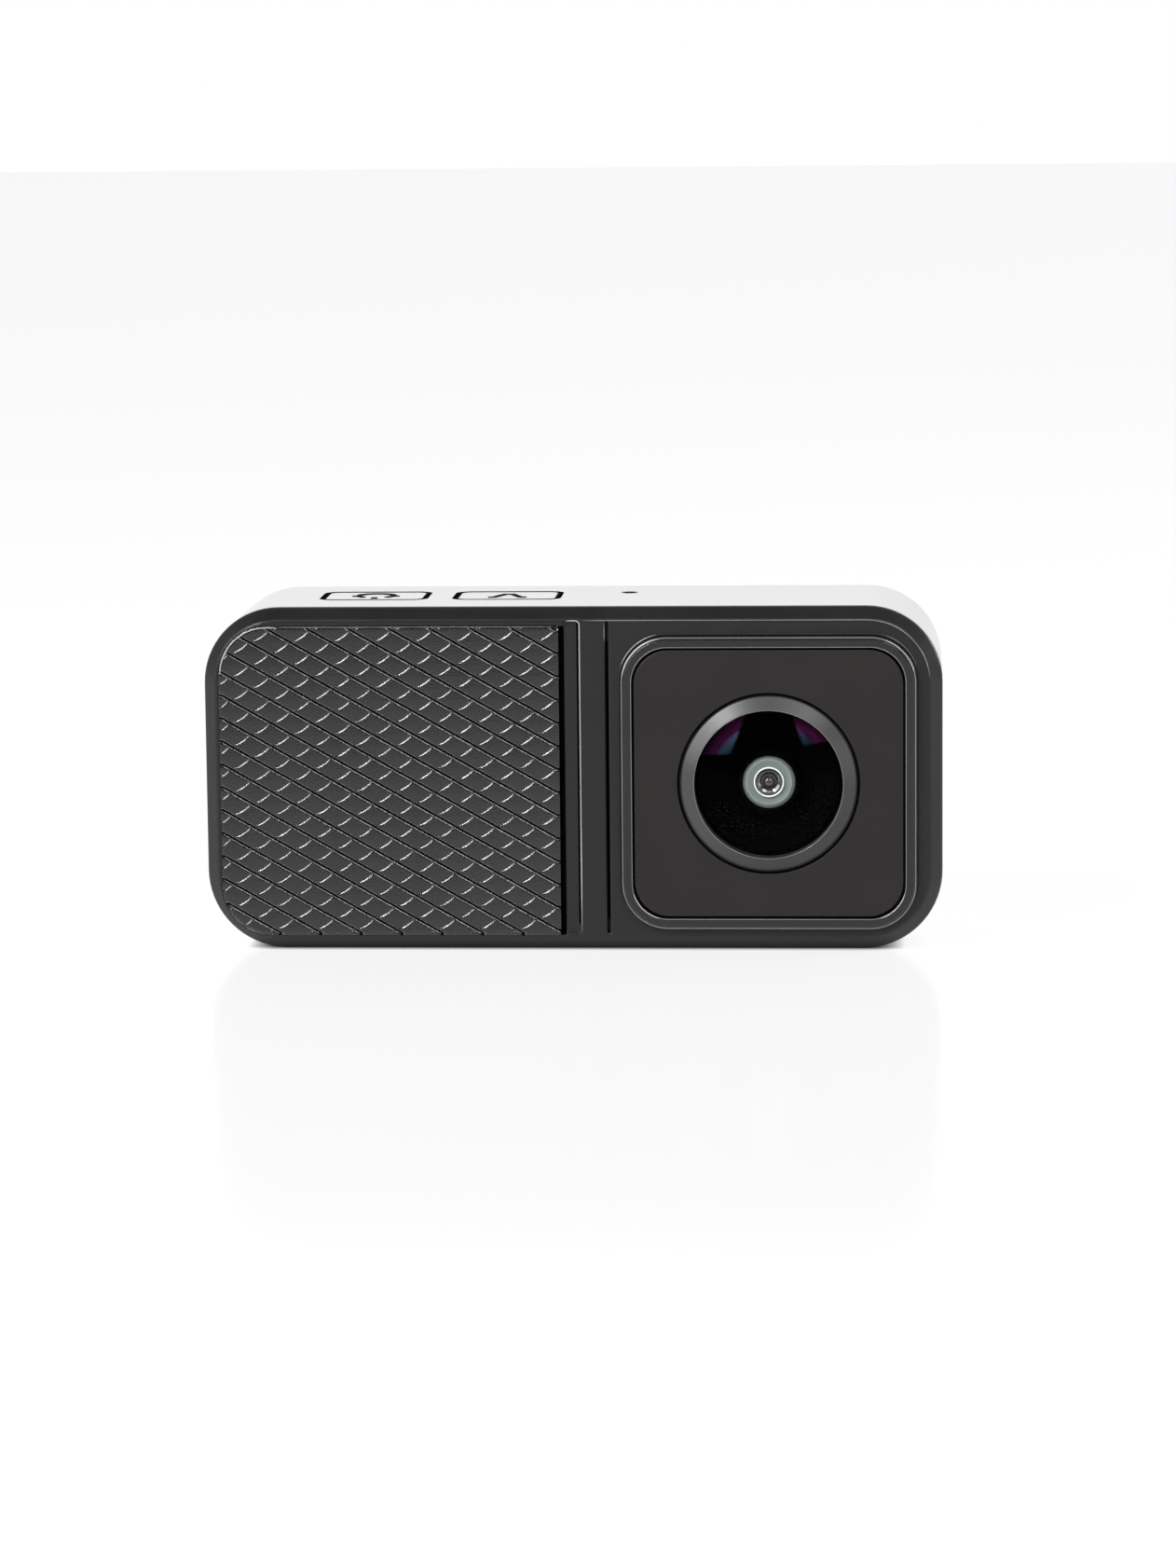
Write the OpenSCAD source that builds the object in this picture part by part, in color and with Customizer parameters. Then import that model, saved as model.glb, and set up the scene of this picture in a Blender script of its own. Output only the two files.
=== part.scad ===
// Pocket action camera: a rounded box with a dark front, a light rear shell, a wide lens at one
// end and a textured grip at the other. Seen from the front, +X is to the right, the front faces
// -Y and +Z is up. The origin is under the middle of the bounding box, on the base.

/* [Body] */
// Width
body_w = 82; // [80:0.5:86]
// Height
body_h = 38.3; // [38.1:0.1:39.5]
// Depth, from the front face to the back face
body_d = 25; // [25:0.5:28]
// Radius of the two upper corners
corner_top = 8.4; // [8.2:0.1:8.8]
// Radius of the two lower corners
corner_base = 8.8; // [8.6:0.1:9]
// Wall thickness of the rear shell
wall = 1.6; // [1.5:0.1:1.7]
// Depth of the front moulding's visible edge
fascia_t = 2; // [2:0.1:2.2]
// Bevel of the front edge
rim_bevel = 1.35; // [1:0.05:1.5]
// Bevel of the back edge
back_bevel = 1.3; // [1.1:0.1:1.5]

/* [Lens] */
// Lens axis, to the right of the middle
lens_x = 21.8; // [21.6:0.1:22]
// Lens axis, above the base
lens_z = 18.8; // [18.6:0.1:19]
// How far the front glass stands out from the front face
lens_proud = 2.7; // [2.5:0.1:3.2]
// Radius of the front glass
glass_r = 8.1; // [8:0.05:8.15]
// Outer radius of the metal ring round the glass
ring_r = 9.9; // [9.8:0.1:10]
// Side of the square frame round the lens
frame_w = 32.8; // [32.6:0.1:33]
// Side of the square plate inside that frame
plate_w = 29.9; // [29.7:0.1:30]

/* [Grip] */
// Left edge of the grip insert
grip_left = -39.2; // [-39.3:0.1:-39]
// Right edge of the grip insert
grip_right = -1.45; // [-1.6:0.05:-1.4]
// Lower edge of the grip insert
grip_low = 1.7; // [1.6:0.1:2]
// Upper edge of the grip insert
grip_high = 36.3; // [36:0.1:36.4]
// Radius of its left corners
grip_r = 5.4; // [4:0.1:6]

/* [Buttons] */
// Width of a button
button_w = 11.5; // [10:0.1:11.6]
// Length of a button, front to back
button_l = 8.3; // [8:0.1:8.6]
// Gap round a button
button_gap = 0.4; // [0.3:0.05:0.45]
// Middle of the buttons, behind the front face
button_depth = 13.2; // [13:0.1:13.4]

/* [Port door] */
// Front edge of the door opening, behind the front face
port_front = 12.4; // [12.2:0.1:12.6]
// Back edge of the door opening, behind the front face
port_back = 21.4; // [21.2:0.1:21.6]
// Lower edge of the door opening
port_low = 9.4; // [9.2:0.1:9.6]
// Upper edge of the door opening
port_high = 29.2; // [29:0.1:29.4]

/* [Tripod socket] */
// Inner radius of the 1/4-20 thread
thread_r = 2.55; // [2.5:0.01:2.6]
// Length of the thread
thread_l = 5.6; // [5:0.1:6]

/* [Hidden] */
$fn = 64;
eps = 0.01;
half_w = body_w / 2;
face_y = lens_proud - (body_d + lens_proud) / 2;
inner_back = body_d - wall;
inner_top = body_h - wall;

// Front moulding
lip_inset = wall + 0.1;
lip_w = 1;
lip_t = 1.6;
post_x = 35.4;
post_low = 5.6;
post_high = body_h - post_low;
post_r = 2.2;
post_end = 19;
grip_recess = 1;
grip_gap = 0.65;
rib_left = 0.85;
strip_sunk = 0.35;
groove_sunk = 0.8;
groove_left = 3.8;
groove_w = 0.35;
rib_low = 1.9;
rib_high = body_h - rim_bevel - 0.1;
rim_crease = 0.3;
back_crease = 1.5;

// Lens stack: depths behind the front face, so negative values stand proud of it
frame_front = -1;
plate_front = -0.85;
lens_seat = 0.9;
frame_corner = 5.2;
frame_band = (frame_w - plate_w) / 2 - 0.15;
plate_corner = 4;
ring_edge = -0.7;
ring_lip = -1.65;
ring_bore = glass_r + 0.12;
neck_r = 9.3;
neck_end = 1.6;
glass_edge = -1.15;
glass_back = 0.4;
bowl_r = 7.6;
bowl_depth = 2.6;
flange_front = 2.2;
flange_back = 3.2;
barrel_r = 6;
barrel_end = 11;
funnel_floor = 2.2;
snout_r = 3.3;
iris_front = 0.5;
iris_t = 1;
iris_r = 3;
pupil_r = 1.7;
pupil_proud = 0.2;
eye_r = 1.35;
eye_ball = 1.9;
eye_proud = 0.4;
rear_bore = 4;
rear_front = 4.2;
holder_front = 6;
holder_plate = 1.5;
holder_w = 22.4;
holder_tube = 15.5;
holder_screw = 9.5;
filter_front = 12.2;
filter_t = 0.4;
filter_w = 8;
sensor_front = 13.8;
sensor_board_front = 15;
sensor_board_w = 20.4;
flex_w = 8;
flex_t = 0.2;

// Boards and cells
board_front = 18;
board_t = 1;
board_low = 8;
board_high = 30.3;
board_half = 37.5;
chip_at = [-12, 19];
chip_w = 11;
can_w = 17;
can_t = 0.2;
pad_w = 14;
key_board_left = -33;
key_board_z = 31.4;
key_board_t = 0.8;
battery_left = -33;
battery_right = -6.2;
battery_low = 2.6;
battery_high = 30.6;
battery_front = 3.6;
battery_back = 14.4;
plate_t = 0.6;
shield_front = 16;
key_boss_r = 1.3;
key_boss_at = [-31.1, 0.9];
board_screws_at = [[-33.5, 27.8], [-28.5, 10], [33.5, 11.5], [33.5, 27.8]];

// Screws: head radius, head height, shank radius
case_head = [1.6, 1.2, 0.8];
small_head = [1.3, 0.7, 0.5];
case_head_front = 23.6;
case_screw_end = 13;
insert_r = 4.4;

// Buttons
button_x = [-22.9, -7.9];
button_r = 1.4;
cap_low = body_h - 2.3;
cap_sunk = 0.05;
flange_w = 0.7;
flange_t = 0.6;
flange_low = inner_top - 0.9;
stem_r = 1.2;
stem_low = body_h - 3.3;
switch_w = 3.5;
switch_h = 2;
plunger_h = 0.4;
mic_x = 5.7;
mic_depth = 15.9;
mic_r = 0.8;
slot_depth = 9.4;
slot_low = 14.8;
slot_pitch = 2.6;
slot_l = 5.2;
slot_h = 0.9;

// Port door
hinge_x = -half_w + 0.9;
hinge_z = port_low + 1.1;
knuckle_r = 0.9;
pin_r = 0.4;
pin_clearance = 0.05;
door_gap = 0.2;
seal_inset = 0.7;
seal_w = 1;
seal_t = 0.7;
socket_x = -38.3;

// Screen
screen_w = 62;
screen_h = 32;
screen_r = 3.5;
screen_t = 1;
window_w = 50;
window_h = 28;
panel_t = 2.2;
light_r = 0.9;

// ---------- shared shapes ----------

// The body's outline in X-Z, shrunk by an inset
module outline(inset = 0) {
  w = half_w - inset;
  top = corner_top - inset;
  base = corner_base - inset;
  for (s = [-1, 1]) {
    translate([s * (w - top), body_h - inset - top]) circle(top);
    translate([s * (w - base), inset + base]) circle(base);
  }
  translate([top - w, body_h - inset - top]) square([2 * (w - top), top]);
  translate([-w, inset + base]) square([2 * w, body_h - 2 * inset - top - base]);
  translate([base - w, inset]) square([2 * (w - base), base]);
}

// A band that follows the outline, between two insets
module outline_band(outer, inner) {
  difference() {
    outline(outer);
    outline(inner);
  }
}

// A rectangle with round corners, centred
module rounded(w, h, r) {
  square([w - 2 * r, h], center = true);
  square([w, h - 2 * r], center = true);
  for (x = [-1, 1], y = [-1, 1]) translate([x * (w / 2 - r), y * (h / 2 - r)]) circle(r);
}

// An X-Z outline made solid from one depth behind the front face to another
module slab(from, to) {
  translate([0, face_y + to, 0]) rotate([90, 0, 0]) linear_extrude(to - from) children();
}

// A [radius, depth] profile turned about an axis that runs straight back from the face
module turned(x = lens_x, z = lens_z) {
  translate([x, face_y, z]) rotate([-90, 0, 0]) rotate_extrude() children();
}

// A pin that runs straight back, from one depth to another
module rod(x, z, r, from, to) {
  slab(from, to) translate([x, z]) circle(r);
}

// Things that stand upright at x and at a depth behind the front face
module upright(x, depth, z) {
  translate([x, face_y + depth, z]) children();
}

// Half a block's section: x runs outwards to m, y runs back to t, and the outer edge at y = 0 has
// a 45 degree bevel whose two creases are rounded by q
module edge_section(m, t, bevel, q) {
  a = q * tan(22.5);
  b = a * cos(45);
  polygon([
    [0, 0], [m - bevel - a, 0], [m - bevel + b, b], [m - b, bevel - b], [m, bevel + a],
    [m, t], [0, t]
  ]);
  translate([m - bevel - a, q]) circle(q);
  translate([m - q, bevel + a]) circle(q);
}

// A section swept round a rectangle with round corners, which lies flat and is centred:
// section x is the distance out from the corner's centre, section y goes up
module swept(w, h, r) {
  bx = w / 2 - r;
  by = h / 2 - r;
  for (i = [0, 1]) mirror([i, 0, 0]) {
    for (j = [0, 1]) mirror([0, j, 0]) translate([bx, by, 0]) rotate_extrude(angle = 90)
      children();
    translate([bx, by, 0]) rotate([90, 0, 0]) linear_extrude(2 * by) children();
  }
  for (j = [0, 1]) mirror([0, j, 0]) translate([-bx, by, 0]) rotate([90, 0, 90])
    linear_extrude(2 * bx) children();
}

// A flat plate t thick whose lower edge, at z = 0, is bevelled all round
module bevelled_plate(w, h, r, t, bevel, q) {
  swept(w, h, r) edge_section(r, t, bevel, q);
  translate([r - w / 2, r - h / 2, 0]) cube([w - 2 * r, h - 2 * r, t]);
}

// Puts a plate or ring that was drawn lying flat against the front, its z = 0 side outwards
module facing_front(x, depth, z) {
  translate([x, face_y + depth, z]) rotate([-90, 0, 0]) children();
}

// The body's outline, t deep along +Y, with the edge at y = 0 bevelled
module body_block(t, bevel, q) {
  top_z = body_h - corner_top;
  side_h = top_z - corner_base;
  for (s = [0, 1]) mirror([s, 0, 0]) {
    translate([half_w - corner_top, 0, top_z]) body_corner()
      edge_section(corner_top, t, bevel, q);
    translate([half_w - corner_base, 0, corner_base]) mirror([0, 0, 1])
      body_corner() edge_section(corner_base, t, bevel, q);
    translate([half_w - corner_top, 0, corner_base]) linear_extrude(side_h)
      edge_section(corner_top, t, bevel, q);
  }
  translate([0, 0, top_z]) body_bar(body_w - 2 * corner_top)
    edge_section(corner_top, t, bevel, q);
  translate([0, 0, corner_base]) mirror([0, 0, 1]) body_bar(body_w - 2 * corner_base)
    edge_section(corner_base, t, bevel, q);
  translate([corner_top - half_w, 0, corner_base]) cube([body_w - 2 * corner_top, t, side_h]);
}

// A quarter turn of a section about an axis that runs back, from +X to +Z
module body_corner() {
  mirror([0, 1, 0]) rotate([90, 0, 0]) rotate_extrude(angle = 90) children();
}

// A section run along X, centred, with section x upwards
module body_bar(length) {
  translate([length / 2, 0, 0]) rotate([0, -90, 0]) linear_extrude(length) children();
}

// A screw that points forwards, with its head at the back: head = [radius, height, shank radius]
module screw(x, z, head, under_head, tip) {
  difference() {
    rod(x, z, head[0], under_head, under_head + head[1]);
    for (turn = [0, 90]) slab(under_head + head[1] / 2, under_head + head[1] + eps)
      translate([x, z]) rotate(turn) square([head[0] * 1.2, head[0] * 0.28], center = true);
  }
  rod(x, z, head[2], tip, under_head + eps);
}

// ---------- front ----------

// Insert outline: round corners on the left, square on the right, grown by a margin
module grip_outline(margin = 0) {
  left = grip_left - margin;
  low = grip_low - margin;
  high = grip_high + margin;
  right = grip_right + margin;
  r = grip_r + margin;
  translate([left + r, low]) square([right - left - r, high - low]);
  translate([left, low + r]) square([r, high - low - 2 * r]);
  for (z = [low + r, high - r]) translate([left + r, z]) circle(r);
}

module case_posts(r, from, to) {
  for (x = [-post_x, post_x], z = [post_low, post_high]) rod(x, z, r, from, to);
}

// A cut of constant [x, depth] section between the upper and the lower rim
module upright_groove(section) {
  translate([0, face_y, rib_low]) linear_extrude(rib_high - rib_low) polygon(section);
}

module lens_bosses(r, from, to) {
  for (x = [-1, 1], z = [-1, 1])
    rod(lens_x + x * holder_screw, lens_z + z * holder_screw, r, from, to);
}

module front_fascia() color("#2b2b2e") difference() {
  union() {
    translate([0, face_y, 0]) body_block(fascia_t, rim_bevel, rim_crease);
    slab(fascia_t, fascia_t + lip_t) outline_band(lip_inset, lip_inset + lip_w);
    case_posts(post_r, fascia_t, post_end);
    lens_bosses(1.6, fascia_t, holder_front);
  }
  slab(-eps, grip_recess) {
    grip_outline(0.08);
    translate([grip_right, grip_low]) square([grip_gap, grip_high - grip_low]);
  }
  // A sunk strip beside the grip, then the rib, then a fine groove
  strip_left = grip_right + grip_gap;
  upright_groove([[strip_left - eps, -eps], [rib_left + 0.1, -eps], [rib_left - 0.1, strip_sunk],
                  [strip_left - eps, strip_sunk]]);
  upright_groove([[groove_left - 0.12, -eps], [groove_left + groove_w, -eps],
                  [groove_left + groove_w, groove_sunk], [groove_left, groove_sunk],
                  [groove_left, 0.15]]);
  slab(-eps, lens_seat) translate([lens_x, lens_z])
    rounded(frame_w + 0.1, frame_w + 0.1, frame_corner + 0.05);
  rod(lens_x, lens_z, neck_r + 0.05, 0, fascia_t + 1);
  case_posts(case_head[2], 12, post_end + 1);
  lens_bosses(small_head[2], 3, holder_front + 1);
}

module grip_panel() color("#303033") {
  slab(-0.1, grip_recess) grip_outline(-0.15);
  slab(0.1, grip_recess) grip_outline();
}

module lens_surround() color("#39393b") facing_front(lens_x, frame_front, lens_z)
  swept(frame_w, frame_w, frame_corner) difference() {
    edge_section(frame_corner, lens_seat - frame_front, 0.45, 0.15);
    translate([-1, -1]) square([frame_corner - frame_band + 1, 4]);
    translate([frame_corner - frame_band, 0]) rotate(45) square(0.2, center = true);
  }

module lens_faceplate() color("#343130") difference() {
  facing_front(lens_x, plate_front, lens_z)
    bevelled_plate(plate_w, plate_w, plate_corner, lens_seat - plate_front, 0.14, 0.06);
  rod(lens_x, lens_z, ring_r + 0.2, plate_front - 1, lens_seat + 1);
}

module lens_ring() color("#5b5b5e") turned() polygon([
  [ring_bore, neck_end], [ring_bore, ring_lip + 0.1], [ring_bore + 0.1, ring_lip],
  [ring_r - 0.12, ring_edge], [ring_r, ring_edge + 0.12], [ring_r, lens_seat],
  [neck_r, lens_seat], [neck_r, neck_end]
]);

module lens_seal() color("#1b1b1b") turned() translate([ring_bore, neck_end])
  square([neck_r - ring_bore, flange_front - neck_end]);

// Front element: domed outside, hollowed behind
dome_h = lens_proud + glass_edge;
dome_r = (glass_r * glass_r + dome_h * dome_h) / (2 * dome_h);
hollow_r = (bowl_r * bowl_r + bowl_depth * bowl_depth) / (2 * bowl_depth);
module front_lens() color("#15151a", 0.6) turned() difference() {
  union() {
    intersection() {
      translate([0, dome_r - lens_proud]) circle(dome_r, $fn = 360);
      translate([0, -lens_proud]) square([glass_r, dome_h]);
    }
    translate([0, glass_edge]) square([glass_r, glass_back - glass_edge]);
  }
  translate([0, glass_back - bowl_depth + hollow_r]) circle(hollow_r, $fn = 360);
}

// Black barrel: a funnel behind the glass, a snout in its middle that holds the iris plate, and
// the flange that clamps the seal
module lens_barrel() color("#18181a") turned() polygon([
  [bowl_r, glass_back], [ring_bore, glass_back], [ring_bore, flange_front],
  [neck_r, flange_front], [neck_r, flange_back], [barrel_r + 1.2, flange_back],
  [barrel_r + 1.2, holder_front], [barrel_r, holder_front], [barrel_r, barrel_end],
  [rear_bore, barrel_end], [rear_bore, rear_front], [iris_r - 0.6, rear_front],
  [iris_r - 0.6, iris_front + iris_t], [iris_r, iris_front + iris_t], [iris_r, iris_front - 0.1],
  [snout_r, iris_front - 0.1], [snout_r + 0.5, funnel_floor], [bowl_r - 3, funnel_floor],
  [bowl_r - 0.6, glass_back + 0.7]
]);

module lens_iris_plate() color("#7f8680") turned() translate([pupil_r, iris_front])
  square([iris_r - pupil_r, iris_t]);

module pupil_ring() color("#e6e8e6") turned() translate([eye_r, iris_front - pupil_proud])
  square([pupil_r - eye_r, iris_t + pupil_proud]);

module inner_lens() color("#2c2a33") intersection() {
  translate([lens_x, face_y + iris_front - eye_proud + eye_ball, lens_z]) sphere(eye_ball);
  rod(lens_x, lens_z, eye_r, iris_front - iris_t, iris_front + iris_t);
}

module rear_lens_group() color("#3a4046", 0.7) {
  rod(lens_x, lens_z, rear_bore, rear_front + 0.2, 6.2);
  rod(lens_x, lens_z, rear_bore - 0.8, 6.2, 9.8);
  rod(lens_x, lens_z, rear_bore, 9.8, barrel_end - 0.2);
}

module behind_lens(from, to) {
  slab(from, to) translate([lens_x, lens_z]) children();
}

module lens_holder() color("#1d1d1f") difference() {
  tube_front = holder_front + holder_plate;
  filter_back = filter_front + filter_t;
  union() {
    behind_lens(holder_front, tube_front) rounded(holder_w, holder_w, 2);
    behind_lens(tube_front, sensor_board_front) rounded(holder_tube, holder_tube, 1.5);
  }
  rod(lens_x, lens_z, barrel_r, holder_front - 1, filter_front);
  behind_lens(filter_front, filter_back) square(filter_w, center = true);
  behind_lens(filter_back, sensor_board_front + 1) square([11, 9.5], center = true);
  lens_bosses(small_head[2], holder_front - 1, holder_front + 3);
}

module ir_filter() color("#7fb7b0", 0.5) behind_lens(filter_front, filter_front + filter_t)
  square(filter_w, center = true);

// Ceramic package with the silicon standing proud of it
module image_sensor() color("#3d4a44") {
  behind_lens(sensor_front, sensor_board_front) square([9.6, 8.2], center = true);
  behind_lens(sensor_front - 0.4, sensor_front) square([6.4, 4.8], center = true);
}

module sensor_board() color("#1f5b3a") behind_lens(sensor_board_front, shield_front)
  rounded(sensor_board_w, sensor_board_w, 1);

// A thin strip that steps back from the sensor board to the main board
module sensor_flex() color("#b4772a") translate([0, face_y, lens_z - flex_w / 2])
  linear_extrude(flex_w) polygon([
    [16, shield_front], [16, shield_front + flex_t], [11.2, shield_front + flex_t],
    [8.2, board_front], [4, board_front], [4, board_front - flex_t], [8, board_front - flex_t],
    [11, shield_front]
  ]);

module lens_screws() color("#8c8c90") for (x = [-1, 1], z = [-1, 1])
  screw(lens_x + x * holder_screw, lens_z + z * holder_screw, small_head,
        holder_front + holder_plate, flange_back);

// ---------- rear shell ----------

module tripod_boss(r, from, to) {
  upright(0, button_depth, from) cylinder(r = r, h = to - from);
}

module button_opening(x, z_from, z_to) {
  upright(x, button_depth, z_from) linear_extrude(z_to - z_from)
    rounded(button_w + 2 * button_gap, button_l + 2 * button_gap, button_r + button_gap);
}

module key_bosses(r, from, to) {
  for (x = key_boss_at) upright(x, button_depth, from) cylinder(r = r, h = to - from);
}

module rear_housing() color("#e9e9e7") difference() {
  union() {
    difference() {
      translate([0, face_y + body_d, 0]) mirror([0, 1, 0])
        body_block(body_d - fascia_t, back_bevel, back_crease);
      slab(fascia_t - 1, inner_back) outline(wall);
      slab(fascia_t - 1, fascia_t + 0.8) outline(wall - 0.5);
    }
    case_posts(post_r, post_end, inner_back + eps);
    for (p = board_screws_at) rod(p[0], p[1], 1.5, board_front + board_t, inner_back + eps);
    key_bosses(key_boss_r, key_board_z + key_board_t, inner_top + eps);
    tripod_boss(insert_r + 1.2, wall - eps, 5.2);
  }
  // Case screws: clearance hole and counterbore
  case_posts(case_head[2] + 0.15, post_end - 1, case_head_front + eps);
  case_posts(case_head[0] + 0.1, case_head_front, body_d + 1);
  for (p = board_screws_at) rod(p[0], p[1], small_head[2], board_front, inner_back - 0.6);
  key_bosses(small_head[2], key_board_z, inner_top - 0.6);
  tripod_boss(insert_r, -1, 6);
  for (x = button_x) button_opening(x, inner_top - 1, body_h + 1);
  upright(mic_x, mic_depth, inner_top - 1) cylinder(r = mic_r, h = wall + 2);
  // Seat and window for the screen
  slab(body_d - screen_t, body_d + 1) translate([0, body_h / 2])
    rounded(screen_w + 0.2, screen_h + 0.2, screen_r + 0.1);
  slab(inner_back - 1, body_d) translate([0, body_h / 2])
    square([window_w + 0.2, window_h + 0.2], center = true);
  rod(post_x, body_h / 2, light_r, inner_back - 1, body_d + 1);
  // Port opening, the holes for its hinge pin, and a fingernail scoop above it
  translate([-half_w - 1, face_y + port_front, port_low])
    cube([wall + 1 + eps, port_back - port_front, port_high - port_low]);
  hinge_rod(pin_r, port_front - 1, port_back + 1);
  fingernail_scoop();
  // Speaker slots in the right wall
  for (i = [0:3]) translate([half_w - wall - 1, face_y + slot_depth, slot_low + i * slot_pitch])
    cube([wall + 2, slot_l, slot_h]);
}

module housing_gasket() color("#3c3c3c") slab(fascia_t, fascia_t + 0.8)
  outline_band(wall - 0.5, lip_inset);

module housing_screws() color("#8e8f92") for (x = [-post_x, post_x], z = [post_low, post_high])
  screw(x, z, case_head, case_head_front, case_screw_end);

module tripod_insert() color("#b08d4a") difference() {
  union() {
    tripod_boss(insert_r, 0.1, 6);
    tripod_boss(insert_r - 0.4, 6, 6.6);
  }
  tripod_boss(thread_r, -1, 0.1 + thread_l);
}

// ---------- buttons and sound ----------

module button_cap(x) {
  upright(x, button_depth, body_h - cap_sunk) mirror([0, 0, 1])
    bevelled_plate(button_w, button_l, button_r, body_h - cap_sunk - cap_low, 0.25, 0.2);
  upright(x, button_depth, flange_low) linear_extrude(flange_t)
    rounded(button_w + 2 * flange_w, button_l + 2 * flange_w, button_r + flange_w);
  upright(x, button_depth, stem_low) cylinder(r = stem_r, h = flange_low - stem_low + eps);
}

module record_button() color("#d9d9d7") button_cap(button_x[0]);
module mode_button() color("#d9d9d7") button_cap(button_x[1]);

module tact_switches() color("#b9bcc0") for (x = button_x)
  upright(x, button_depth, key_board_z + key_board_t) {
    translate([-switch_w / 2, -switch_w / 2, 0]) cube([switch_w, switch_w, switch_h]);
    translate([0, 0, switch_h - eps]) cylinder(r = 0.8, h = plunger_h + eps);
  }

module button_board() color("#1f5b3a") difference() {
  upright(key_board_left, 8, key_board_z) cube([43, 10.4, key_board_t]);
  key_bosses(small_head[2], key_board_z - 1, key_board_z + 2);
}

module button_board_screws() color("#8c8c90") for (x = key_boss_at)
  upright(x, button_depth, key_board_z) {
    translate([0, 0, -small_head[1]]) cylinder(r = small_head[0], h = small_head[1]);
    cylinder(r = small_head[2], h = 4);
  }

boot_low = key_board_z + key_board_t + 1.1;
mesh_low = inner_top - 0.2;
module microphone() color("#c9b676") difference() {
  upright(mic_x, mic_depth, key_board_z + key_board_t) translate([-1.9, -1.45, 0])
    cube([3.8, 2.9, 1.1]);
  upright(mic_x, mic_depth, boot_low - 0.5) cylinder(r = 0.4, h = 1);
}

module microphone_boot() color("#222222") difference() {
  upright(mic_x, mic_depth, boot_low) cylinder(r = 1.9, h = mesh_low - boot_low);
  upright(mic_x, mic_depth, boot_low - 1) cylinder(r = mic_r, h = 10);
}

module microphone_mesh() color("#4a4a4a") upright(mic_x, mic_depth, mesh_low)
  cylinder(r = 1.9, h = inner_top - mesh_low);

speaker_x = half_w - wall - 0.2;
module speaker() color("#2a2a2c") {
  translate([speaker_x - 3, face_y + 8, 12.6]) cube([3, 8, 12.6]);
  translate([speaker_x - 3.4, face_y + 9.5, 14.5]) cube([0.5, 5, 8.8]);
}

module speaker_mesh() color("#4a4a4a") translate([speaker_x, face_y + 8.8, 14])
  cube([0.2, 6.4, 10]);

module antenna() color("#b4772a") {
  translate([14, face_y + 7, inner_top - 0.2]) cube([17, 5, 0.2]);
  translate([16, face_y + 8, inner_top - 0.3]) cube([13, 3, 0.11]);
}

// ---------- boards and power ----------

module main_board() color("#1f5b3a") difference() {
  slab(board_front, board_front + board_t) translate([-board_half, board_low])
    square([2 * board_half, board_high - board_low]);
  for (p = board_screws_at) rod(p[0], p[1], small_head[2], board_front - 1, board_front + 2);
}

module main_board_screws() color("#8c8c90") for (p = board_screws_at) {
  rod(p[0], p[1], small_head[0], board_front - small_head[1], board_front);
  rod(p[0], p[1], small_head[2], board_front, inner_back - 0.8);
}

module processor() color("#26272b") slab(board_front - 1, board_front) translate(chip_at)
  square(chip_w, center = true);

module shield_can() color("#b4b6b8") difference() {
  slab(shield_front, board_front) translate(chip_at) rounded(can_w, can_w, 0.8);
  slab(shield_front + can_t, board_front + 1) translate(chip_at)
    rounded(can_w - 2 * can_t, can_w - 2 * can_t, 0.6);
}

module thermal_pad() color("#8fa3b0") slab(battery_back + plate_t, shield_front)
  translate(chip_at) square(pad_w, center = true);

module heat_plate() color("#c4c6c8") slab(battery_back, battery_back + plate_t)
  translate([-13.5, 19.2]) rounded(33, 22, 1.5);

module battery() color("#8d9299") {
  slab(battery_front, battery_back) translate([battery_left, battery_low])
    square([battery_right - battery_left, battery_high - battery_low - 1.4]);
  slab(battery_front + 4, battery_back - 4)
    translate([battery_left + 2, battery_high - 1.4 - eps])
      square([battery_right - battery_left - 4, 1.4 + eps]);
}

module battery_foam() color("#3b3b3b") slab(fascia_t, battery_front) translate([-20, 17])
  square([20, 20], center = true);

// ---------- screen ----------

module display_glass() color("#0d0d10") translate([0, face_y + body_d - 0.05, body_h / 2])
  rotate([90, 0, 0]) bevelled_plate(screen_w, screen_h, screen_r, screen_t - 0.05, 0.2, 0.12);

module display_panel() color("#2a2f38") slab(body_d - screen_t - panel_t, body_d - screen_t)
  translate([0, body_h / 2]) square([window_w, window_h], center = true);

module status_light() color("#cfe3d2", 0.8) rod(post_x, body_h / 2, light_r, inner_back - 0.6,
  body_d);

// ---------- side port ----------

// Straight back along the door hinge
module hinge_rod(r, from, to) {
  translate([hinge_x, face_y + from, hinge_z]) rotate([-90, 0, 0])
    cylinder(r = r, h = to - from);
}

// The hollow at the top of the door that a fingernail opens it by
module fingernail_scoop() {
  translate([-half_w - 2.2, face_y + (port_front + port_back) / 2, port_high]) sphere(3);
}

door_front = port_front + door_gap;
door_back = port_back - door_gap;
door_high = port_high - door_gap;
module port_door() color("#e9e9e7") difference() {
  union() {
    translate([-half_w, face_y + door_front, hinge_z])
      cube([wall, door_back - door_front, door_high - hinge_z]);
    hinge_rod(knuckle_r, door_front, door_back);
  }
  hinge_rod(pin_r + pin_clearance, door_front - 1, door_back + 1);
  fingernail_scoop();
}

module door_seal() color("#303030") translate([-half_w + wall, face_y, 0]) difference() {
  translate([0, door_front + seal_inset, hinge_z + 2])
    cube([seal_t, door_back - door_front - 2 * seal_inset, door_high - hinge_z - 2.8]);
  translate([-1, door_front + seal_inset + seal_w, hinge_z + 2 + seal_w])
    cube([3, door_back - door_front - 2 * (seal_inset + seal_w),
          door_high - hinge_z - 2.8 - 2 * seal_w]);
}

module hinge_pin() color("#9a9a9c") hinge_rod(pin_r, port_front - 1, port_back + 1);

usb_z = 21.5;
usb_depth = board_front - 1.6;
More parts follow.
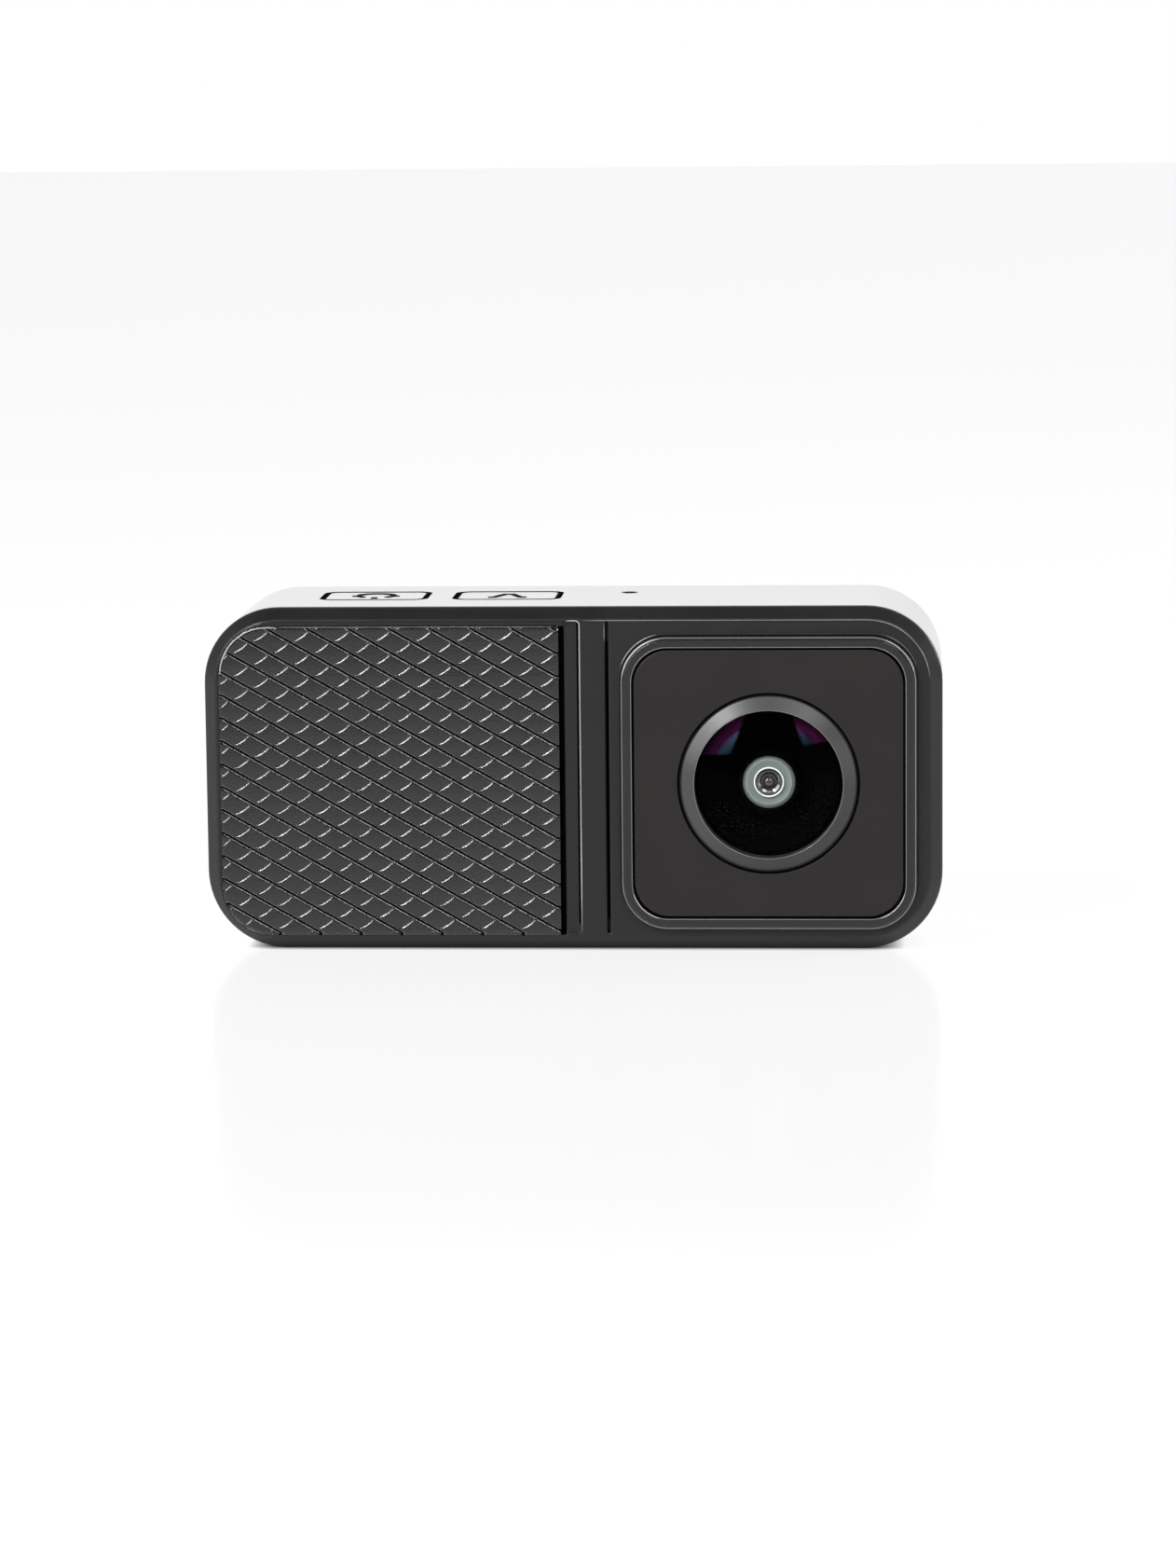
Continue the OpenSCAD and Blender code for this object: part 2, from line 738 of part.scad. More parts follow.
// A flat oval in the Y-Z plane, for things seen from the side
module side_oval(w, t, x, length) {
  translate([x, face_y + usb_depth, usb_z]) rotate([90, 0, 90]) linear_extrude(length)
    rounded(t, w, t / 2 - eps);
}

module usb_socket() color("#a9abad") {
  difference() {
    side_oval(9, 3.2, socket_x, 7.3);
    side_oval(8.4, 2.6, socket_x - 1, 7.1);
  }
  translate([socket_x + 1.2, face_y + usb_depth - 0.35, usb_z - 3.3]) cube([5.2, 0.7, 6.6]);
}

card_z = 12.2;
card_w = 11;
card_l = 15;
card_t = 0.8;
card_depth = board_front + board_t + 0.5;
card_x = socket_x + 1.6;
module card_socket() color("#b4b6b8") difference() {
  translate([socket_x + 0.6, face_y + board_front + board_t, card_z - 0.5])
    cube([17, 1.8, card_w + 1]);
  translate([socket_x - 1, face_y + card_depth - 0.1, card_z - 0.1])
    cube([card_x - socket_x + 1 + card_l + 0.2, card_t + 0.2, card_w + 0.2]);
}

module memory_card() color("#1c1c20") {
  translate([card_x, face_y + card_depth, card_z]) cube([card_l, card_t, card_w]);
}

// ---------- assembly ----------

front_fascia();
grip_panel();
lens_surround();
lens_faceplate();
lens_ring();
lens_seal();
front_lens();
lens_barrel();
lens_iris_plate();
pupil_ring();
inner_lens();
rear_lens_group();
lens_holder();
ir_filter();
image_sensor();
sensor_board();
sensor_flex();
lens_screws();
rear_housing();
housing_gasket();
housing_screws();
tripod_insert();
record_button();
mode_button();
tact_switches();
button_board();
button_board_screws();
microphone();
microphone_boot();
microphone_mesh();
speaker();
speaker_mesh();
antenna();
main_board();
main_board_screws();
processor();
shield_can();
thermal_pad();
heat_plate();
battery();
battery_foam();
display_glass();
display_panel();
status_light();
port_door();
door_seal();
hinge_pin();
usb_socket();
card_socket();
memory_card();
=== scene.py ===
"""Looks for a pocket action camera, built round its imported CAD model.

Everything is in metres, in the frame's own axes: +X right, -Y towards the front, +Z up.
"""
import math

import bmesh
import bpy
from mathutils import Matrix, Vector


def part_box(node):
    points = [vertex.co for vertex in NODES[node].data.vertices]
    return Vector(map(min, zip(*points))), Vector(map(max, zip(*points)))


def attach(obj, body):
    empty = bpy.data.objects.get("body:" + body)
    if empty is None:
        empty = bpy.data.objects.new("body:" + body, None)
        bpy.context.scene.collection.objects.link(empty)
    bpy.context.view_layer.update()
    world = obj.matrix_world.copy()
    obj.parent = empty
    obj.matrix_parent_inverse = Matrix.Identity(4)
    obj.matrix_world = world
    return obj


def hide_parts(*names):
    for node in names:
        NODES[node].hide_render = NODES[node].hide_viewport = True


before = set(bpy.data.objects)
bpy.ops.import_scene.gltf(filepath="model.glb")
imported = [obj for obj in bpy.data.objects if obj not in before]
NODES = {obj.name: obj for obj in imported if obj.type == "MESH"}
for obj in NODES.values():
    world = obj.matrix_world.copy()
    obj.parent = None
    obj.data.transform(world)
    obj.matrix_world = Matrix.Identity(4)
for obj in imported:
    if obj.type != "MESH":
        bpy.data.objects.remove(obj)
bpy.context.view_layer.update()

MM = 0.001


# ---------- places taken from the frame ----------

def middle(node):
    low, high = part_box(node)
    return (low + high) / 2


FACE_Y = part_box("front_fascia")[0].y
LENS = middle("lens_ring")
GRIP_LOW, GRIP_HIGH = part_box("grip_panel")
GRIP_FLOOR = GRIP_HIGH.y
FRAME_LOW, FRAME_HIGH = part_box("lens_surround")
CAP_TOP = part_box("record_button")[1].z
SHELL_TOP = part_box("rear_housing")[1].z

# Width, length and corner radius of a button cap, in millimetres
CAP_W, CAP_L, CAP_R = 11.5, 8.3, 1.4


# ---------- node and material helpers ----------

PLASTIC_IOR = 1.5
GLASS_IOR = 1.52
WAVE_PERIOD = 0.31  # distance between the waves of a wave texture whose scale is 1
MESH_THREAD = 0.35 * MM
TRACKS_PER_METRE = 900.0


def add(tree, kind, inputs=None, **settings):
    """A shader node with its settings, and its inputs set or linked."""
    made = tree.nodes.new(kind)
    for key, value in settings.items():
        setattr(made, key, value)
    for key, value in (inputs or {}).items():
        if isinstance(value, bpy.types.NodeSocket):
            tree.links.new(value, made.inputs[key])
        else:
            made.inputs[key].default_value = value
    return made


def start_material(name):
    material = bpy.data.materials.new(name)
    material.use_nodes = True
    material.node_tree.nodes.clear()
    return material, material.node_tree


def finish_material(tree, shader):
    out = add(tree, "ShaderNodeOutputMaterial")
    tree.links.new(shader, out.inputs["Surface"])


def place(tree, stretch=(1, 1, 1)):
    """Object coordinates, which turn and slide with the piece."""
    coords = add(tree, "ShaderNodeTexCoord").outputs["Object"]
    return add(tree, "ShaderNodeMapping", {"Vector": coords, "Scale": stretch}).outputs[0]


def noise(tree, where, size, detail=2.0, rough=0.5):
    """Noise with features about `size` metres across."""
    inputs = {"Vector": where, "Scale": 1 / size, "Detail": detail, "Roughness": rough}
    return add(tree, "ShaderNodeTexNoise", inputs).outputs["Fac"]


def spread(tree, value, low, high, start=0.3, end=0.7):
    """A value from `start` to `end` stretched to run from low to high."""
    inputs = {"Value": value, "From Min": start, "From Max": end, "To Min": low, "To Max": high}
    return add(tree, "ShaderNodeMapRange", inputs).outputs[0]


def ramp(tree, value, stops):
    """Colours along a value: stops are (position, colour)."""
    made = add(tree, "ShaderNodeValToRGB", {"Fac": value})
    elements = made.color_ramp.elements
    while len(elements) < len(stops):
        elements.new(0.5)
    for element, (position, colour) in zip(elements, stops):
        element.position = position
        element.color = (*colour, 1)
    return made.outputs["Color"]


def shade(colour, factor):
    return tuple(min(1.0, c * factor) for c in colour)


def rounded_edges(tree, radius):
    """The normal of a surface whose edges are rounded by a radius in millimetres."""
    return add(tree, "ShaderNodeBevel", {"Radius": radius * MM}, samples=6).outputs[0]


def bump(tree, height, depth, rounded=None):
    """The normal of a surface raised by height times depth, in metres, over rounded edges if
    they are given."""
    inputs = {"Height": height, "Distance": depth, "Strength": 1.0}
    if rounded:
        inputs["Normal"] = rounded
    return add(tree, "ShaderNodeBump", inputs).outputs[0]


def principled(tree, inputs):
    return add(tree, "ShaderNodeBsdfPrincipled", inputs).outputs[0]


def moulded(name, colour, rough, grain=0.12, grain_depth=0.006, mottle=0.07, gloss=0.5, edge=0.1):
    """Moulded plastic or rubber: fine grain in the surface, faint clouding of colour and gloss,
    and edges that catch the light as if rounded by `edge` millimetres. The grain's size and depth
    are in millimetres, mottle is how far the colour varies, and gloss is the specular level."""
    material, tree = start_material(name)
    where = place(tree)
    cloud = noise(tree, where, 7 * MM, 3.0)
    tint = ramp(tree, cloud, [(0.3, shade(colour, 1 - mottle)), (0.7, shade(colour, 1 + mottle))])
    fine = noise(tree, where, grain * MM, 2.0, 0.6)
    surface = {
        "Base Color": tint,
        "Roughness": spread(tree, cloud, rough - 0.035, rough + 0.035),
        "IOR": PLASTIC_IOR,
        "Specular IOR Level": gloss,
        "Normal": bump(tree, fine, grain_depth * MM, rounded=rounded_edges(tree, edge)),
    }
    finish_material(tree, principled(tree, surface))
    return material


def metal(name, colour, rough, stretch=(1, 1, 1), grain=0.15, grain_depth=0.004):
    """Metal with fine turned or brushed lines: drawn out along the axes that stretch shrinks, and
    close together along those that it enlarges."""
    material, tree = start_material(name)
    lines = noise(tree, place(tree, stretch), grain * MM, 2.0)
    cloud = noise(tree, place(tree), 4 * MM, 2.0)
    surface = {
        "Base Color": ramp(tree, cloud, [(0.3, shade(colour, 0.86)), (0.7, colour)]),
        "Metallic": 1.0,
        "Roughness": spread(tree, lines, rough - 0.06, rough + 0.08),
        "Normal": bump(tree, lines, grain_depth * MM),
    }
    finish_material(tree, principled(tree, surface))
    return material


def circuit_board(name):
    """Green solder mask with copper tracks showing faintly through it."""
    material, tree = start_material(name)
    where = place(tree)
    tracks = add(tree, "ShaderNodeTexVoronoi", {"Vector": where, "Scale": TRACKS_PER_METRE},
                 feature="DISTANCE_TO_EDGE", distance="MANHATTAN").outputs["Distance"]
    colours = [(0.0, (0.03, 0.2, 0.09)), (0.06, (0.03, 0.2, 0.09)), (0.09, (0.012, 0.09, 0.04))]
    surface = {
        "Base Color": ramp(tree, tracks, colours),
        "Roughness": spread(tree, noise(tree, where, 3 * MM), 0.28, 0.42),
        "Normal": bump(tree, spread(tree, tracks, 1.0, 0.0, 0.05, 0.1), 0.02 * MM),
    }
    finish_material(tree, principled(tree, surface))
    return material


def woven(name, colour):
    """Fine woven mesh: crossed waves of thread."""
    material, tree = start_material(name)
    where = place(tree)
    waves = []
    for axis in ("X", "Y", "Z"):
        wave = add(tree, "ShaderNodeTexWave", {"Vector": where, "Scale": WAVE_PERIOD / MESH_THREAD},
                   bands_direction=axis)
        waves.append(wave.outputs["Fac"])
    first = add(tree, "ShaderNodeMath", {0: waves[0], 1: waves[1]}, operation="MULTIPLY").outputs[0]
    weave = add(tree, "ShaderNodeMath", {0: first, 1: waves[2]}, operation="ADD").outputs[0]
    surface = {
        "Base Color": ramp(tree, weave, [(0.2, shade(colour, 0.3)), (0.9, shade(colour, 1.5))]),
        "Roughness": 0.7,
        "Normal": bump(tree, weave, 0.08 * MM),
    }
    finish_material(tree, principled(tree, surface))
    return material


def see_through(tree, reflection, amount, tint=(1, 1, 1, 1)):
    """A clear surface that lets light straight through, apart from the part that it reflects."""
    clear = add(tree, "ShaderNodeBsdfTransparent", {"Color": tint}).outputs[0]
    return add(tree, "ShaderNodeMixShader", {0: amount, 1: clear, 2: reflection}).outputs[0]


def clear_glass(name, tint, reflect):
    """Polished glass with a faint grain of smears. reflect is its share of plain glass's gloss."""
    material, tree = start_material(name)
    smear = noise(tree, place(tree), 5 * MM, 2.0)
    gloss = add(tree, "ShaderNodeBsdfAnisotropic", {
        "Color": (1, 1, 1, 1),
        "Roughness": spread(tree, smear, 0.015, 0.04),
    }).outputs[0]
    fresnel = add(tree, "ShaderNodeFresnel", {"IOR": GLASS_IOR}).outputs[0]
    amount = add(tree, "ShaderNodeMath", {0: fresnel, 1: reflect}, operation="MULTIPLY").outputs[0]
    finish_material(tree, see_through(tree, gloss, amount, (*tint, 1)))
    return material


def lens_radius(tree):
    """Distance from the lens axis, and its parts to the right and up, in metres."""
    coords = add(tree, "ShaderNodeTexCoord").outputs["Object"]
    split = add(tree, "ShaderNodeSeparateXYZ", {0: coords}).outputs
    dx = add(tree, "ShaderNodeMath", {0: split["X"], 1: LENS.x}, operation="SUBTRACT").outputs[0]
    dz = add(tree, "ShaderNodeMath", {0: split["Z"], 1: LENS.z}, operation="SUBTRACT").outputs[0]
    flat = add(tree, "ShaderNodeCombineXYZ", {0: dx, 1: dz}).outputs[0]
    radius = add(tree, "ShaderNodeVectorMath", {0: flat}, operation="LENGTH").outputs["Value"]
    return radius, dx, dz


# The patches where the coating's painted reflection shows, in millimetres from the lens axis:
# where their colours run from and to, the heights between which they fade in, how much their
# lower edge leans, and how far aside they start, measured along a slant
PAINTED_GLINT_FROM, PAINTED_GLINT_TO = 4.9, 8.1
PAINTED_GLINT_HEIGHTS = (3.7, 4.0)
PAINTED_GLINT_LEAN = -0.11
PAINTED_GLINT_ASIDE = (5.4, 5.75)
PAINTED_GLINT_SLANT = 0.4
PAINTED_GLINT_WOBBLE = 0.6


def coating_with_painted_glints(name):
    """Anti-reflection coating inside the front element, with its reflection painted into two patches
    in the upper half, one each side: magenta near the rim and dark teal further in."""
    material, tree = start_material(name)
    radius, aside, height = lens_radius(tree)
    wobble = noise(tree, place(tree), 2 * MM, 2.0)
    shifted = add(tree, "ShaderNodeMath", {0: wobble, 1: PAINTED_GLINT_WOBBLE * MM, 2: radius},
                  operation="MULTIPLY_ADD").outputs[0]
    across = spread(tree, shifted, 0, 1, PAINTED_GLINT_FROM * MM, PAINTED_GLINT_TO * MM)
    colours = [
        (0.0, (0.001, 0.003, 0.004)), (0.3, (0.003, 0.006, 0.009)), (0.6, (0.005, 0.009, 0.014)),
        (0.68, (0.035, 0.014, 0.05)), (0.75, (0.29, 0.045, 0.22)), (1.0, (0.17, 0.025, 0.13)),
    ]
    gloss = add(tree, "ShaderNodeBsdfAnisotropic", {
        "Color": ramp(tree, across, colours),
        "Roughness": 0.35,
    }).outputs[0]
    leaning = add(tree, "ShaderNodeMath", {0: aside, 1: PAINTED_GLINT_LEAN, 2: height},
                  operation="MULTIPLY_ADD").outputs[0]
    high = spread(tree, leaning, 0, 1, *(h * MM for h in PAINTED_GLINT_HEIGHTS))
    span = add(tree, "ShaderNodeMath", {0: aside}, operation="ABSOLUTE").outputs[0]
    slanted = add(tree, "ShaderNodeMath", {0: height, 1: PAINTED_GLINT_SLANT, 2: span},
                  operation="MULTIPLY_ADD").outputs[0]
    wide = spread(tree, slanted, 0, 1, *(a * MM for a in PAINTED_GLINT_ASIDE))
    # Painted reflection: the coating reflects only inside the two patches, wherever the light falls.
    amount = add(tree, "ShaderNodeMath", {0: high, 1: wide}, operation="MULTIPLY").outputs[0]
    finish_material(tree, see_through(tree, gloss, amount))
    return material


SCREEN_DARK = (0.006, 0.006, 0.008)
SCREEN_PALE = (0.011, 0.011, 0.014)


def dark_screen(name):
    """Black cover glass: glossy, with faint smears."""
    material, tree = start_material(name)
    smear = noise(tree, place(tree), 9 * MM, 3.0)
    surface = {
        "Base Color": ramp(tree, smear, [(0.3, SCREEN_DARK), (0.7, SCREEN_PALE)]),
        "Roughness": spread(tree, smear, 0.04, 0.09),
        "IOR": GLASS_IOR,
    }
    finish_material(tree, principled(tree, surface))
    return material


def paint(names, material):
    """Gives carried-over CAD nodes a material."""
    for name in names:
        slots = NODES[name].data.materials
        slots.clear()
        slots.append(material)


# ---------- geometry helpers ----------

def piece(name, verts, faces, material, body="camera", smooth_angle=35, stands_for=(),
          face_materials=None):
    """A mesh piece made of points and faces, riding on a body."""
    mesh = bpy.data.meshes.new(name)
    mesh.from_pydata([tuple(v) for v in verts], [], faces)
    work = bmesh.new()
    work.from_mesh(mesh)
    bmesh.ops.remove_doubles(work, verts=work.verts, dist=1e-7)
    bmesh.ops.recalc_face_normals(work, faces=work.faces)
    work.to_mesh(mesh)
    work.free()
    return finish_piece(name, mesh, material, body, smooth_angle, stands_for, face_materials)


def finish_piece(name, mesh, material, body, smooth_angle, stands_for, face_materials=None):
    """Makes a mesh a smooth-shaded piece with one material or a list, on a body, and hides the CAD
    parts that it stands for.
    face_materials picks a face's material number from its centre and normal."""
    made = bpy.data.objects.new(name, mesh)
    bpy.context.scene.collection.objects.link(made)
    for look in (material if isinstance(material, (list, tuple)) else [material]):
        mesh.materials.append(look)
    if face_materials:
        for polygon in mesh.polygons:
            polygon.material_index = face_materials(polygon.center, polygon.normal)
    mesh.polygons.foreach_set("use_smooth", [True] * len(mesh.polygons))
    mesh.set_sharp_from_angle(angle=math.radians(smooth_angle))
    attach(made, body)
    if stands_for:
        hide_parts(*stands_for)
    return made


def revolve(profile, segments=128):
    """Points and faces of a closed (radius, depth) profile turned about the lens axis.
    Both are in millimetres, depth measured back from the front face."""
    verts, faces, count = [], [], len(profile)
    for step in range(segments):
        angle = 2 * math.pi * step / segments
        for radius, depth in profile:
            x = LENS.x + radius * MM * math.cos(angle)
            z = LENS.z + radius * MM * math.sin(angle)
            verts.append((x, FACE_Y + depth * MM, z))
    for step in range(segments):
        here, there = step * count, (step + 1) % segments * count
        for i in range(count):
            j = (i + 1) % count
            if profile[i][0] < 1e-6 and profile[j][0] < 1e-6:
                continue
            corners = [here + i, here + j, there + j, there + i]
            if profile[j][0] < 1e-6:
                corners = [here + i, here + j, there + i]
            if profile[i][0] < 1e-6:
                corners = [here + i, here + j, there + j]
            faces.append(corners)
    return verts, faces


def arc(radius, centre, start, end, steps):
    """Points on a circle from one angle to another, in degrees."""
    points = []
    for i in range(steps + 1):
        angle = math.radians(start + (end - start) * i / steps)
        points.append((centre[0] + radius * math.cos(angle), centre[1] + radius * math.sin(angle)))
    return points


# ---------- stage, light and camera ----------

# The camera's place, its turn, tilt and roll in degrees, and its focal length in millimetres
CAMERA_AT = Vector((36.81 * MM, FACE_Y - 544.06 * MM, 98.23 * MM))
CAMERA_TURN, CAMERA_TILT, CAMERA_ROLL = 3.686, 8.302, -0.570
CAMERA_LENS = 114.125
CLIP = (0.01, 50)

LIGHTS_AIM = Vector((0, 0, 0.02))
FLOOR_HALF = 4.0
FLOOR_GREY = (0.12, 0.12, 0.12, 1)
FLOOR_GLOW = 0.885
FLOOR_GLOSS = 0.13
FLOOR_ROUGH = 0.16
CONTACT_SHADE = 1.2 * MM  # how far round the body the floor's painted contact shadow reaches


def make_camera():
    """The view of the front, from a little above and to the right."""
    data = bpy.data.cameras.new("camera_view")
    data.lens = CAMERA_LENS
    data.sensor_width = 36
    data.sensor_fit = "AUTO"
    data.clip_start, data.clip_end = CLIP
    view = bpy.data.objects.new("camera_view", data)
    turn = Matrix.Rotation(math.radians(CAMERA_TURN), 4, "Z")
    tilt = Matrix.Rotation(math.radians(90 - CAMERA_TILT), 4, "X")
    roll = Matrix.Rotation(math.radians(CAMERA_ROLL), 4, "Z")
    view.matrix_world = Matrix.Translation(CAMERA_AT) @ turn @ tilt @ roll
    bpy.context.scene.collection.objects.link(view)
    bpy.context.scene.camera = view


def softbox(name, direction, size, glow, distance):
    """A rectangular soft light that faces the camera body. Its size and distance are in metres,
    and glow is its brightness beside white."""
    data = bpy.data.lights.new(name, "AREA")
    data.shape = "RECTANGLE"
    data.size, data.size_y = size
    data.energy = glow * math.pi * size[0] * size[1]
    lamp = bpy.data.objects.new(name, data)
    away = Vector(direction).normalized()
    lamp.location = away * distance + LIGHTS_AIM
    lamp.rotation_euler = away.to_track_quat("Z", "Y").to_euler()
    bpy.context.scene.collection.objects.link(lamp)


def make_world():
    """White to look at. As light it is brighter behind, to the right and at the far left than in
    front and above."""
    world = bpy.data.worlds.new("studio")
    world.use_nodes = True
    tree = world.node_tree
    tree.nodes.clear()
    way = add(tree, "ShaderNodeTexCoord").outputs["Generated"]
    axes = add(tree, "ShaderNodeSeparateXYZ", {0: way}).outputs
    behind = spread(tree, axes["Y"], 0.0, 0.8, 0.0, 0.5)
    side = spread(tree, axes["X"], 0.0, 0.3, -0.4, 0.9)
    level = add(tree, "ShaderNodeMath", {0: behind, 1: side}, operation="ADD").outputs[0]
    left = spread(tree, axes["X"], 0.35, 0.06, -1.0, -0.6)
    level = add(tree, "ShaderNodeMath", {0: level, 1: left}, operation="ADD").outputs[0]
    light = add(tree, "ShaderNodeCombineColor", {0: level, 1: level, 2: level}).outputs[0]
    seen = add(tree, "ShaderNodeLightPath").outputs["Is Camera Ray"]
    white = (1, 1, 1, 1)
    colour = add(tree, "ShaderNodeMix", {"Factor": seen, "A": light, "B": white}, data_type="RGBA")
    back = add(tree, "ShaderNodeBackground", {"Color": colour.outputs["Result"]})
    tree.links.new(back.outputs[0], add(tree, "ShaderNodeOutputWorld").inputs["Surface"])
    bpy.context.scene.world = world


def make_floor():
    """A pale glossy table top, large enough to reach the horizon, with a contact shadow painted into
    its glow close to what touches it.
    """
    mesh = bpy.data.meshes.new("floor")
    corners = [(x * FLOOR_HALF, y * FLOOR_HALF, 0) for x, y in ((-1, -1), (1, -1), (1, 1), (-1, 1))]
    mesh.from_pydata(corners, [], [(0, 1, 2, 3)])
    floor = bpy.data.objects.new("floor", mesh)
    bpy.context.scene.collection.objects.link(floor)
    material, tree = start_material("floor_white")
    matt = add(tree, "ShaderNodeBsdfDiffuse", {"Color": FLOOR_GREY}).outputs[0]
    # Painted contact shadow: the floor's glow fades where ambient occlusion finds the body close by.
    near = add(tree, "ShaderNodeAmbientOcclusion", {"Distance": CONTACT_SHADE}, samples=6).outputs["AO"]
    light = ramp(tree, near, [(0.0, (0, 0, 0)), (0.9, (1, 1, 1))])
    glow = add(tree, "ShaderNodeEmission", {"Color": light, "Strength": FLOOR_GLOW}).outputs[0]
    base = add(tree, "ShaderNodeAddShader", {0: matt, 1: glow}).outputs[0]
    gloss = add(tree, "ShaderNodeBsdfAnisotropic", {
        "Color": (1, 1, 1, 1),
        "Roughness": FLOOR_ROUGH,
    }).outputs[0]
    both = add(tree, "ShaderNodeMixShader", {0: FLOOR_GLOSS, 1: base, 2: gloss}).outputs[0]
    finish_material(tree, both)
    mesh.materials.append(material)


# Each light's direction, size in metres, brightness and distance
LIGHTS = {
    "soft_left": ((-0.77, -0.51, 0.38), (0.34, 0.46), 7.6, 0.9),
    "spot_left": ((-0.50, -0.565, 0.655), (0.3, 0.14), 42.0, 0.85),
    "soft_right": ((0.42, -0.62, 0.66), (0.32, 0.28), 10.0, 0.9),
    "strip_right": ((0.86, -0.48, 0.16), (0.14, 0.5), 4.5, 0.9),
    "soft_rear": ((0.9, 0.35, 0.3), (0.3, 0.3), 10.0, 0.9),
    "soft_top": ((0.0, -0.62, 0.78), (0.5, 0.1), 4.0, 0.9),
}


def make_stage():
    """The camera, surroundings, floor and lights."""
    bpy.context.scene.view_settings.view_transform = "Standard"
    make_camera()
    make_world()
    make_floor()
    for name, settings in LIGHTS.items():
        softbox(name, *settings)


# ---------- grip ----------

# All in millimetres, apart from the slope and the places across a cell, which run from 0 to 1
GRIP_CELL = (4.54, 2.585)  # width and height of a diamond
GRIP_AT = (0.34, -1.16)  # a corner of the pattern, from the panel's middle
GRIP_CORNER = 5.4  # the panel's corner radius
GRIP_SLOPE = 0.577  # of the bevels, 30 degrees
GRIP_WIDE = 0.175  # bevel on the upper left edge
GRIP_NARROW = 0.18  # bevel on the upper right edge
GRIP_FALL = 0.08  # width of the steep side at the lower right edge
GRIP_SLIT = 0.07  # half the slit's width
GRIP_DEEP = 0.25  # the slit's depth
GRIP_CROWN = 0.03  # how far a cell's middle stands above its corners
GRIP_BOW = 0.1  # how far the rows bend
GRIP_EDGE = 0.22  # how far inside the panel's outline the pattern is trimmed
GRIP_LIP = (0.11, 0.06)  # the pad's widest edge: how far back, and how far past the panel's outline
GRIP_REACH = 24  # cells tried each way from the middle
GRIP_SPARE = 0.55  # cells are kept whose middle lies up to this share of a cell outside the panel
GRIP_SQUAT = 1.7  # how much more a distance up or down counts, because cells are wider than tall
# Where a cell's points lie along s and t, and the ends of s whose faces line the slits and take the
# slits' painted shade
GRIP_S = (0, 0.025, 0.05, 0.09, 0.14, 0.22, 0.36, 0.5, 0.62, 0.75, 0.85, 0.889, 0.93, 0.969, 0.985, 1)
GRIP_DARK = (0.05, 0.969)
GRIP_T = (0, 0.01, 0.04, 0.07, 0.08, 0.11, 0.18, 0.3, 0.45, 0.6, 0.75, 0.88, 0.93, 0.96, 0.98, 1)


def line_through(points, x):
    """The value at x of straight lines through points."""
    for (x0, y0), (x1, y1) in zip(points, points[1:]):
        if x <= x1:
            return y0 + (y1 - y0) * (x - x0) / (x1 - x0)
    return points[-1][1]


def grip_height(s, t):
    """How far a point of a cell lies below the crown, in millimetres. s runs up to the right and t
    down to the right, each from 0 to 1 across the cell. The upper left and upper right edges have
    a flat bevel, and the upper left one narrows to a tenth towards its ends. A slit runs between
    the upper right edge of a cell and the next cell."""
    side = math.hypot(*GRIP_CELL) / 2 * math.sin(2 * math.atan2(GRIP_CELL[1], GRIP_CELL[0]))
    wide = GRIP_WIDE * max(0.1, min(1.0, (s - 0.1) / 0.12, (0.96 - s) / 0.1))
    upper_left = line_through([(0, wide * GRIP_SLOPE), (wide, 0)], t * side)
    lower_right = line_through([(0, wide * GRIP_SLOPE), (GRIP_FALL, 0)], (1 - t) * side)
    bevel = GRIP_NARROW * GRIP_SLOPE
    upper_right = line_through([(0, GRIP_DEEP), (GRIP_SLIT, bevel), (GRIP_SLIT + GRIP_NARROW, 0)],
                               (1 - s) * side)
    lower_left = line_through([(0, GRIP_DEEP), (2 * GRIP_SLIT, 0)], s * side)
    crown = GRIP_CROWN * (1 - 16 * s * (1 - s) * t * (1 - t))
    return max(upper_left, lower_right, upper_right, lower_left) + crown


def grip_cells():
    """Points and faces of the whole pattern, larger than the panel, before it is trimmed, and
    which faces line the slits."""
    verts, faces, dark, index = [], [], [], {}
    a = Vector((GRIP_CELL[0] / 2, GRIP_CELL[1] / 2))
    b = Vector((GRIP_CELL[0] / 2, -GRIP_CELL[1] / 2))
    low = Vector((GRIP_LOW.x, GRIP_LOW.z)) / MM
    high = Vector((GRIP_HIGH.x, GRIP_HIGH.z)) / MM
    centre = Vector(GRIP_AT) + (low + high) / 2
    for i in range(-GRIP_REACH, GRIP_REACH):
        for j in range(-GRIP_REACH, GRIP_REACH):
            middle_of_cell = centre + a * (i + 0.5) + b * (j + 0.5)
            x_out = max(low.x - middle_of_cell.x, middle_of_cell.x - high.x)
            y_out = max(low.y - middle_of_cell.y, middle_of_cell.y - high.y)
            if max(x_out, y_out * GRIP_SQUAT) > GRIP_CELL[0] * GRIP_SPARE:
                continue
            for s in GRIP_S:
                for t in GRIP_T:
                    bow = GRIP_BOW * math.sin(math.pi * s ** 0.75)
                    at = centre + a * (i + s) + b * (j + t + bow)
                    index[i, j, s, t] = len(verts)
                    verts.append((at.x * MM, GRIP_LOW.y + grip_height(s, t) * MM, at.y * MM))
            for m in range(len(GRIP_S) - 1):
                for n in range(len(GRIP_T) - 1):
                    corners = [(m, n), (m + 1, n), (m + 1, n + 1), (m, n + 1)]
                    faces.append([index[i, j, GRIP_S[p], GRIP_T[q]] for p, q in corners])
                    dark.append(GRIP_S[m] < GRIP_DARK[0] or GRIP_S[m] >= GRIP_DARK[1])
    return verts, faces, dark


def grip_outline(inset):
    """Points round the panel, moved in by inset millimetres: square corners on the right, round
    ones on the left."""
    left, right = GRIP_LOW.x / MM + inset, GRIP_HIGH.x / MM - inset
    low, high = GRIP_LOW.z / MM + inset, GRIP_HIGH.z / MM - inset
    r = GRIP_CORNER - inset
    outline = [(right, low), (right, high)]
    outline += arc(r, (left + r, high - r), 90, 180, 14)
    outline += arc(r, (left + r, low + r), 180, 270, 14)
    return outline


